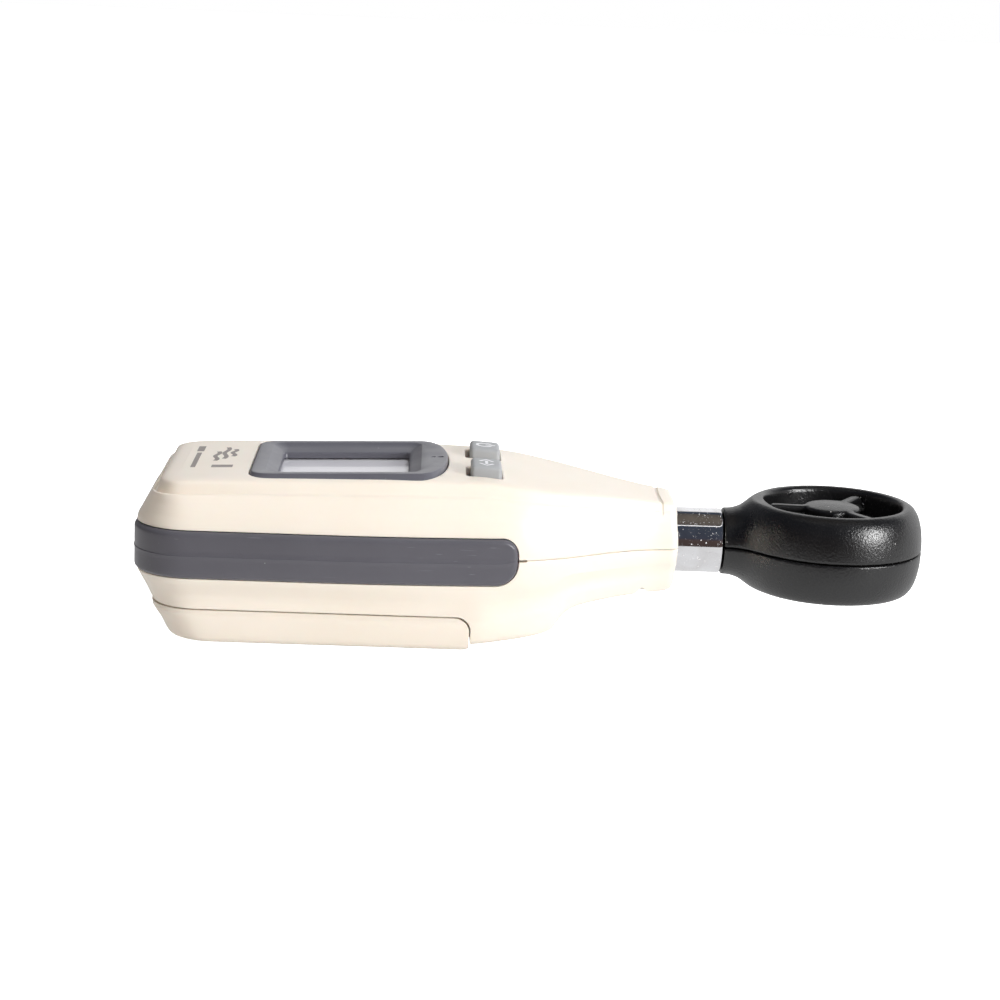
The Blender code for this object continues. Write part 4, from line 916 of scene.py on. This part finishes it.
# ---- materials ----
class Nodes:
    """A small builder for a node tree."""

    def __init__(self, tree):
        self.tree = tree

    def node(self, kind, inputs=(), **settings):
        node = self.tree.nodes.new("ShaderNode" + kind)
        for key, value in settings.items():
            setattr(node, key, value)
        for key, value in dict(inputs).items():
            if isinstance(value, bpy.types.NodeSocket):
                self.tree.links.new(value, node.inputs[key])
            else:
                node.inputs[key].default_value = value
        return node

    def ramp(self, value, low, high, out_low=0.0, out_high=1.0):
        return self.node("MapRange", {"Value": value, "From Min": low, "From Max": high,
                                      "To Min": out_low, "To Max": out_high}).outputs[0]

    def maths(self, operation, *values):
        return self.node("Math", enumerate(values), operation=operation).outputs[0]

    def mix(self, factor, first, second):
        """A colour between two; each is a colour or a socket."""
        colours = [(*c, 1.0) if isinstance(c, tuple) else c for c in (first, second)]
        return self.node("Mix", {0: factor, 6: colours[0], 7: colours[1]}, data_type="RGBA").outputs[2]


class Shade(Nodes):
    """A node material on a Principled shader."""

    def __init__(self, name, roughness, **fixed):
        self.material = bpy.data.materials.new(name)
        self.material.use_nodes = True
        super().__init__(self.material.node_tree)
        self.shader = self.tree.nodes["Principled BSDF"]
        self.shader.inputs["Roughness"].default_value = roughness
        for key, value in fixed.items():
            self.shader.inputs[key.replace("_", " ")].default_value = value
        self.place = self.node("TexCoord").outputs["Object"]
        self.normal = None

    def noise(self, size_mm, detail=2.0, stretch=(1, 1, 1), distortion=0.0):
        """Noise with features about size_mm long, as a value from 0 to 1."""
        place = self.node("Mapping", {"Vector": self.place, "Scale": stretch})
        return self.node("TexNoise", {"Vector": place.outputs[0], "Scale": 1000.0 / size_mm,
                                      "Detail": detail, "Distortion": distortion}).outputs["Fac"]

    def specks(self, size_mm, amount):
        """Sparse dots about size_mm apart: 1 on a dot, 0 elsewhere; amount sets each dot's size."""
        cells = self.node("TexVoronoi", {"Vector": self.place, "Scale": 1000.0 / size_mm})
        near = self.ramp(cells.outputs["Distance"], amount, amount * 0.6)
        chosen = self.node("SeparateColor", {"Color": cells.outputs["Color"]})
        return self.maths("MULTIPLY", near, self.ramp(chosen.outputs[0], 0.72, 0.78))

    def bump(self, height, depth_mm, strength=1.0):
        inputs = {"Height": height, "Strength": strength, "Distance": depth_mm / 1000.0}
        if self.normal:
            inputs["Normal"] = self.normal
        self.normal = self.node("Bump", inputs).outputs[0]

    def done(self, colour=None, roughness=None):
        links = (("Base Color", colour), ("Roughness", roughness), ("Normal", self.normal))
        for key, socket in links:
            if socket is not None:
                self.tree.links.new(socket, self.shader.inputs[key])
        return self.material


def moulded(name, light, dark, roughness, grain_mm, grain_depth, dust=0.0, scratches=0.0, **fixed):
    """Moulded plastic: slow colour drift, fine grain, handling marks, sparse dust and light scratches."""
    shade = Shade(name, roughness, **fixed)
    drift = shade.noise(28.0, 3.0)
    fine = shade.noise(grain_mm, 3.0)
    colour = shade.mix(shade.ramp(drift, 0.3, 0.7), dark, light)
    speckle = shade.ramp(fine, 0.35, 0.7)
    colour = shade.mix(shade.maths("MULTIPLY", speckle, 0.12), colour, dark)
    stain = shade.noise(9.0, 4.0, distortion=0.6)
    rough = shade.ramp(stain, 0.3, 0.7, roughness - 0.05, roughness + 0.05)
    shade.bump(fine, grain_depth)
    shade.bump(shade.noise(6.0, 1.0), grain_depth * 0.8)
    if scratches:
        lines = shade.noise(0.35, 2.0, (0.02, 0.6, 1.0), 0.4)
        mark = shade.ramp(lines, 0.70, 0.74, 0.0, scratches)
        colour = shade.mix(mark, colour, tuple(min(c * 2.2 + 0.05, 1.0) for c in light))
    if dust:
        spots = shade.maths("MULTIPLY", shade.specks(2.4, 0.07), dust)
        colour = shade.mix(spots, colour, (0.75, 0.74, 0.72))
    return shade.done(colour, rough)


def plated(name):
    """Bright plating with pits, dust and fine circular polishing marks."""
    shade = Shade(name, 0.06, Metallic=1.0)
    stain = shade.noise(5.0, 5.0, distortion=1.0)
    colour = shade.mix(shade.ramp(stain, 0.35, 0.75), (0.86, 0.86, 0.88), (0.74, 0.73, 0.74))
    pits = shade.specks(1.3, 0.16)
    dust = shade.ramp(shade.noise(0.5, 4.0, distortion=1.5), 0.66, 0.70)
    colour = shade.mix(shade.maths("MULTIPLY", pits, 0.8), colour, (0.9, 0.9, 0.9))
    rough = shade.maths("ADD", shade.ramp(stain, 0.3, 0.8, 0.03, 0.12), shade.maths("MULTIPLY", dust, 0.35))
    rough = shade.maths("ADD", rough, shade.maths("MULTIPLY", pits, 0.5))
    shade.bump(shade.noise(0.25, 2.0, (1.0, 0.03, 0.03)), 0.0006)
    shade.bump(pits, 0.02)
    shade.bump(dust, 0.01)
    dull = shade.maths("MINIMUM", shade.maths("ADD", pits, dust), 1.0)
    shade.tree.links.new(shade.maths("SUBTRACT", 1.0, dull), shade.shader.inputs["Metallic"])
    return shade.done(colour, rough)


def metal(name, light, dark, roughness):
    shade = Shade(name, roughness, Metallic=1.0)
    colour = shade.mix(shade.ramp(shade.noise(2.0, 4.0), 0.3, 0.7), light, dark)
    rough = shade.ramp(shade.noise(1.2, 3.0), 0.3, 0.7, roughness - 0.08, roughness + 0.1)
    shade.bump(shade.noise(0.2, 2.0, (1, 0.1, 1)), 0.004)
    return shade.done(colour, rough)


def screen(name):
    """A blank display under a clear window: a pale lilac grey with a faint sheen drift and some dust."""
    shade = Shade(name, 0.12, Coat_Weight=0.1, Coat_Roughness=0.04, Specular_IOR_Level=0.15)
    drift = shade.noise(16.0, 2.0)
    colour = shade.mix(shade.ramp(drift, 0.3, 0.7), (0.66, 0.65, 0.69), (0.72, 0.71, 0.74))
    cells = shade.noise(0.3, 1.0, (1.0, 1.0, 0.1))
    colour = shade.mix(shade.ramp(cells, 0.4, 0.6, 0.0, 0.06), colour, (0.45, 0.46, 0.46))
    colour = shade.mix(shade.maths("MULTIPLY", shade.specks(3.0, 0.05), 0.5), colour, (0.85, 0.85, 0.85))
    shade.bump(shade.noise(20.0, 1.0), 0.01)
    return shade.done(colour, shade.ramp(drift, 0.3, 0.7, 0.08, 0.16))


MATERIALS = {
    "cream_plastic": moulded("cream", (0.88, 0.805, 0.71), (0.85, 0.775, 0.67), 0.38, 0.35, 0.012,
                             dust=0.25, Subsurface_Weight=0.06, Subsurface_Scale=0.002),
    "dark_grey_plastic": moulded("bumper_grey", (0.108, 0.106, 0.124), (0.094, 0.092, 0.108), 0.38, 0.3,
                                 0.012, dust=0.35, scratches=0.35),
    "mid_grey_plastic": moulded("frame_grey", (0.125, 0.125, 0.148), (0.105, 0.105, 0.125), 0.34, 0.3, 0.010,
                                dust=0.3),
    "key_grey_rubber": moulded("key_grey", (0.40, 0.41, 0.42), (0.36, 0.37, 0.38), 0.55, 0.25, 0.015),
    "black_plastic": moulded("head_black", (0.006, 0.006, 0.0065), (0.004, 0.004, 0.0045), 0.31, 0.45, 0.085,
                             dust=0.6, Specular_IOR_Level=0.75),
    "white_plastic": moulded("white_moulding", (0.8, 0.8, 0.77), (0.74, 0.74, 0.7), 0.4, 0.4, 0.01),
    "board_green": moulded("solder_mask", (0.02, 0.17, 0.06), (0.012, 0.11, 0.04), 0.3, 0.6, 0.02),
    "dark_rubber": moulded("soft_black", (0.035, 0.035, 0.035), (0.02, 0.02, 0.02), 0.7, 0.3, 0.02),
    "natural_nylon": moulded("nylon", (0.78, 0.74, 0.62), (0.7, 0.66, 0.54), 0.5, 0.4, 0.015),
    "battery_sleeve": moulded("cell_film", (0.05, 0.09, 0.28), (0.035, 0.06, 0.2), 0.3, 1.2, 0.02,
                              scratches=0.3),
    "dark_magnet": moulded("ferrite", (0.09, 0.09, 0.1), (0.06, 0.06, 0.065), 0.5, 0.3, 0.03),
    "ruby_jewel": moulded("ruby", (0.45, 0.02, 0.06), (0.33, 0.01, 0.04), 0.12, 0.5, 0.004),
    "display_glass": moulded("cell_glass", (0.5, 0.52, 0.5), (0.45, 0.47, 0.46), 0.12, 0.8, 0.004),
    "clear_window": screen("window"),
    "nickel_steel": metal("nickel", (0.66, 0.63, 0.58), (0.55, 0.52, 0.48), 0.3),
    "bright_chrome": plated("chrome"),
}
INK_WHITE = moulded("ink_white", (0.86, 0.86, 0.88), (0.78, 0.78, 0.8), 0.5, 0.2, 0.004)
INK_GREY = moulded("ink_grey", (0.30, 0.27, 0.25), (0.24, 0.21, 0.20), 0.5, 0.2, 0.004)
LAMP_CLEAR = moulded("lamp_clear", (0.45, 0.45, 0.50), (0.36, 0.36, 0.42), 0.12, 0.4, 0.004)


def dress(obj, material):
    obj.data.materials.clear()
    obj.data.materials.append(material)


slot_of = {row["node"]: row["material_slot"] for row in frame["record"]["subparts"]}
for name, obj in nodes.items():
    dress(obj, MATERIALS[slot_of[name]])


def add(piece, body, node=None, slot=None, material=None):
    slot = slot or slot_of[node]
    dress(piece, material or MATERIALS[slot])
    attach(piece, body)
    if node:
        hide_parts(node)


# ---- pieces ----
front_shell, top_surface = make_front_shell()
add(front_shell, "case", "front_shell")
add(make_rear_shell(), "case", "rear_shell")
add(make_battery_cover(), "battery_cover", "battery_cover")
add(make_band(), "case", "bumper_band")
add(make_bezel(), "case", "lcd_bezel")
for key in KEYS:
    add(make_key(key), key, key)
add(make_tube(), "head", "neck_tube")
add(make_head_half("ring_half_upper", 1), "head", "head_upper_shell")
add(make_head_half("ring_half_lower", -1), "head", "head_lower_shell")
add(make_impeller(), "vane", "impeller")

lamp = turned("lamp_lens", [(0.0, 13.6), (0.5, 13.6), (0.42, 15.6), (0.3, 15.78), (0.0, 15.8)], "Z",
              (LAMP_X, 0, 0), 24)
add(lamp, "case", slot="clear_window", material=LAMP_CLEAR)

# Generic marks: a wind sign and a rule by the display, a power sign and a two-way arrow on the keys
waves = []
for row, (start, length) in enumerate(((-3.0, 9.5), (-1.0, 12.0), (1.5, 7.5))):
    x = 17.2 + 1.7 * row
    line = [(x + 0.35 * math.sin(2 * math.pi * t * 1.5), start + length * t) for t in between(0, 1, 24)]
    waves.append((line, 0.95))
waves.append(([(x, -8.5) for x in (17.0, 21.4)], 2.4))
waves.append(([(13.2, y) for y in between(-9.5, 5.5, 8)], 1.0))
waves.append(([(13.2, y) for y in (7.0, 12.5)], 1.5))
add(print_strokes("panel_print", waves, top_surface), "case", slot="dark_grey_plastic", material=INK_GREY)

power_y, mode_y = key_middle("power_key"), key_middle("mode_key")
middle_x = (KEY_TAIL_X + KEY_FRONT_X) / 2
power = [(arc((middle_x, power_y), 1.7, 40, 320, 20), 0.6),
         ([(middle_x + 0.1, power_y), (middle_x + 2.2, power_y)], 0.6)]
add(print_strokes("power_sign", power, key_surface), "power_key", slot="white_plastic", material=INK_WHITE)
arrows = []
for side in (1, -1):
    tip = mode_y + side * 2.9
    arrows.append(([(middle_x - 1.4, tip - side * 1.8), (middle_x, tip), (middle_x + 1.4, tip - side * 1.8)],
                   0.62))
arrows.append(([(middle_x, mode_y - 1.6), (middle_x, mode_y + 1.6)], 0.62))
add(print_strokes("mode_sign", arrows, key_surface), "mode_key", slot="white_plastic", material=INK_WHITE)


# ---- stage ----
def sheet(name, low, high, colour, glow, *kinds):
    """A sheet of pale paper on the ground, seen only by the named kinds of ray."""
    bm = bmesh.new()
    corners = ((low[0], low[1], 0), (high[0], low[1], 0), (high[0], high[1], 0), (low[0], high[1], 0))
    bm.faces.new([bm.verts.new(corner) for corner in corners])
    obj = finish(name, bm)
    paper = Shade(name, 0.8, Specular_IOR_Level=0.1, Emission_Color=(1.0, 1.0, 1.0, 1.0),
                  Emission_Strength=glow)
    tone = paper.mix(paper.ramp(paper.noise(60.0, 2.0), 0.3, 0.7), (colour,) * 3, (colour * 0.99,) * 3)
    obj.data.materials.append(paper.done(tone))
    for kind in ("camera", "diffuse", "glossy", "transmission", "shadow"):
        setattr(obj, f"visible_{kind}", kind in kinds)


# The object's surroundings: paper all round for the eye, less of it lights and mirrors in the object
sheet("floor", (-4, -4), (4, 7), 0.85, 1.1, "camera")
sheet("lighting_floor", (-0.13, -4), (4, 7), 0.72, 0.07, "diffuse")
sheet("mirror_floor", (-0.4, -0.10), (4, 7), 0.0, 0.80, "glossy")

scene = bpy.context.scene
scene.world = bpy.data.worlds.new("studio")
scene.world.use_nodes = True
sky = Nodes(scene.world.node_tree)

# A bright backdrop up to BACKDROP_SLOPE behind the object, open on its left; a dark room in front of it
# with one thin bright strip
BACKDROP_SLOPE = 1.19
BACKDROP_LEFT = -0.22
SKY_BANDS = ((-1.0, (0.06, 0.045, 0.035)), (-0.1, (0.07, 0.05, 0.045)), (0.15, (0.08, 0.055, 0.05)),
             (0.30, (0.05, 0.055, 0.075)), (0.86, (0.05, 0.06, 0.08)), (0.90, (0.10, 0.09, 0.08)),
             (1.0, (0.14, 0.12, 0.10)))
STRIP_HEIGHT, STRIP_HALF, STRIP_GLOW = 0.884, 0.009, 1.6
way = sky.node("SeparateXYZ", {0: sky.node("TexCoord").outputs["Generated"]}).outputs
bands = sky.node("ValToRGB", {0: sky.ramp(way["Z"], -1.0, 1.0)})
stops = bands.color_ramp
while len(stops.elements) < len(SKY_BANDS):
    stops.elements.new(0.5)
for stop, (height, tone) in zip(stops.elements, SKY_BANDS):
    stop.position = (height + 1) / 2
    stop.color = (*tone, 1.0)
lean = sky.maths("MULTIPLY_ADD", way["Y"], BACKDROP_SLOPE, sky.maths("MULTIPLY", way["Z"], -1.0))
backdrop = sky.maths("MULTIPLY", sky.ramp(lean, -0.04, 0.12),
                     sky.ramp(way["X"], BACKDROP_LEFT, BACKDROP_LEFT + 0.16, 0.15))
backdrop = sky.maths("MAXIMUM", backdrop, sky.node("LightPath").outputs["Is Camera Ray"])
strip = sky.maths("MULTIPLY", sky.maths("COMPARE", way["Z"], STRIP_HEIGHT, STRIP_HALF),
                  sky.maths("LESS_THAN", way["Y"], 0.0))
colour = sky.mix(strip, sky.mix(backdrop, bands.outputs["Color"], (1.0, 1.0, 1.0)), (STRIP_GLOW,) * 3)
sky.tree.links.new(colour, sky.tree.nodes["Background"].inputs["Color"])


def light(name, place, target, size, power, colour=(1.0, 1.0, 1.0), glossy=True):
    data = bpy.data.lights.new(name, "AREA")
    data.shape = "RECTANGLE"
    data.size, data.size_y = size
    data.energy = power
    data.color = colour
    lamp = bpy.data.objects.new(name, data)
    scene.collection.objects.link(lamp)
    lamp.location = place
    lamp.rotation_euler = (Vector(target) - Vector(place)).to_track_quat("-Z", "Y").to_euler()
    lamp.visible_glossy = glossy


light("key_right", (0.95, -0.75, 0.40), (0.03, 0, 0.0), (0.36, 0.36), 13.5)
light("wide_right", (0.80, -0.70, 0.45), (0.03, 0, 0.0), (0.8, 0.6), 0.5, glossy=False)
light("above", (0.45, 0.05, 1.1), (0.0, 0, 0.0), (0.8, 0.8), 8.5, (0.97, 0.98, 1.0), glossy=False)
light("fill_left", (-0.75, -0.95, 0.42), (0, 0, 0.0), (0.5, 0.4), 4.0, (1.0, 0.94, 0.84), glossy=False)


# ---- camera ----
VIEW_PLACE = Vector((-0.02392, -0.4831, 0.13505))
AZIMUTH, ELEVATION, ROLL = math.radians(-1.935), math.radians(12.581), math.radians(2.394)
FOCAL_SHARE = 2.327  # focal length over the picture's width
ahead = Vector((-math.sin(AZIMUTH) * math.cos(ELEVATION), math.cos(AZIMUTH) * math.cos(ELEVATION),
                -math.sin(ELEVATION)))
level = ahead.cross(Vector((0, 0, 1))).normalized()
up = level.cross(ahead)
right = math.cos(ROLL) * level + math.sin(ROLL) * up
upper = -math.sin(ROLL) * level + math.cos(ROLL) * up
camera_data = bpy.data.cameras.new("camera")
camera_data.sensor_width = 36.0
camera_data.lens = 36.0 * FOCAL_SHARE
camera_data.clip_start = 0.01
camera = bpy.data.objects.new("camera", camera_data)
scene.collection.objects.link(camera)
camera.matrix_world = Matrix.Translation(VIEW_PLACE) @ Matrix((right, upper, -ahead)).transposed().to_4x4()
scene.camera = camera
scene.view_settings.view_transform = "Standard"
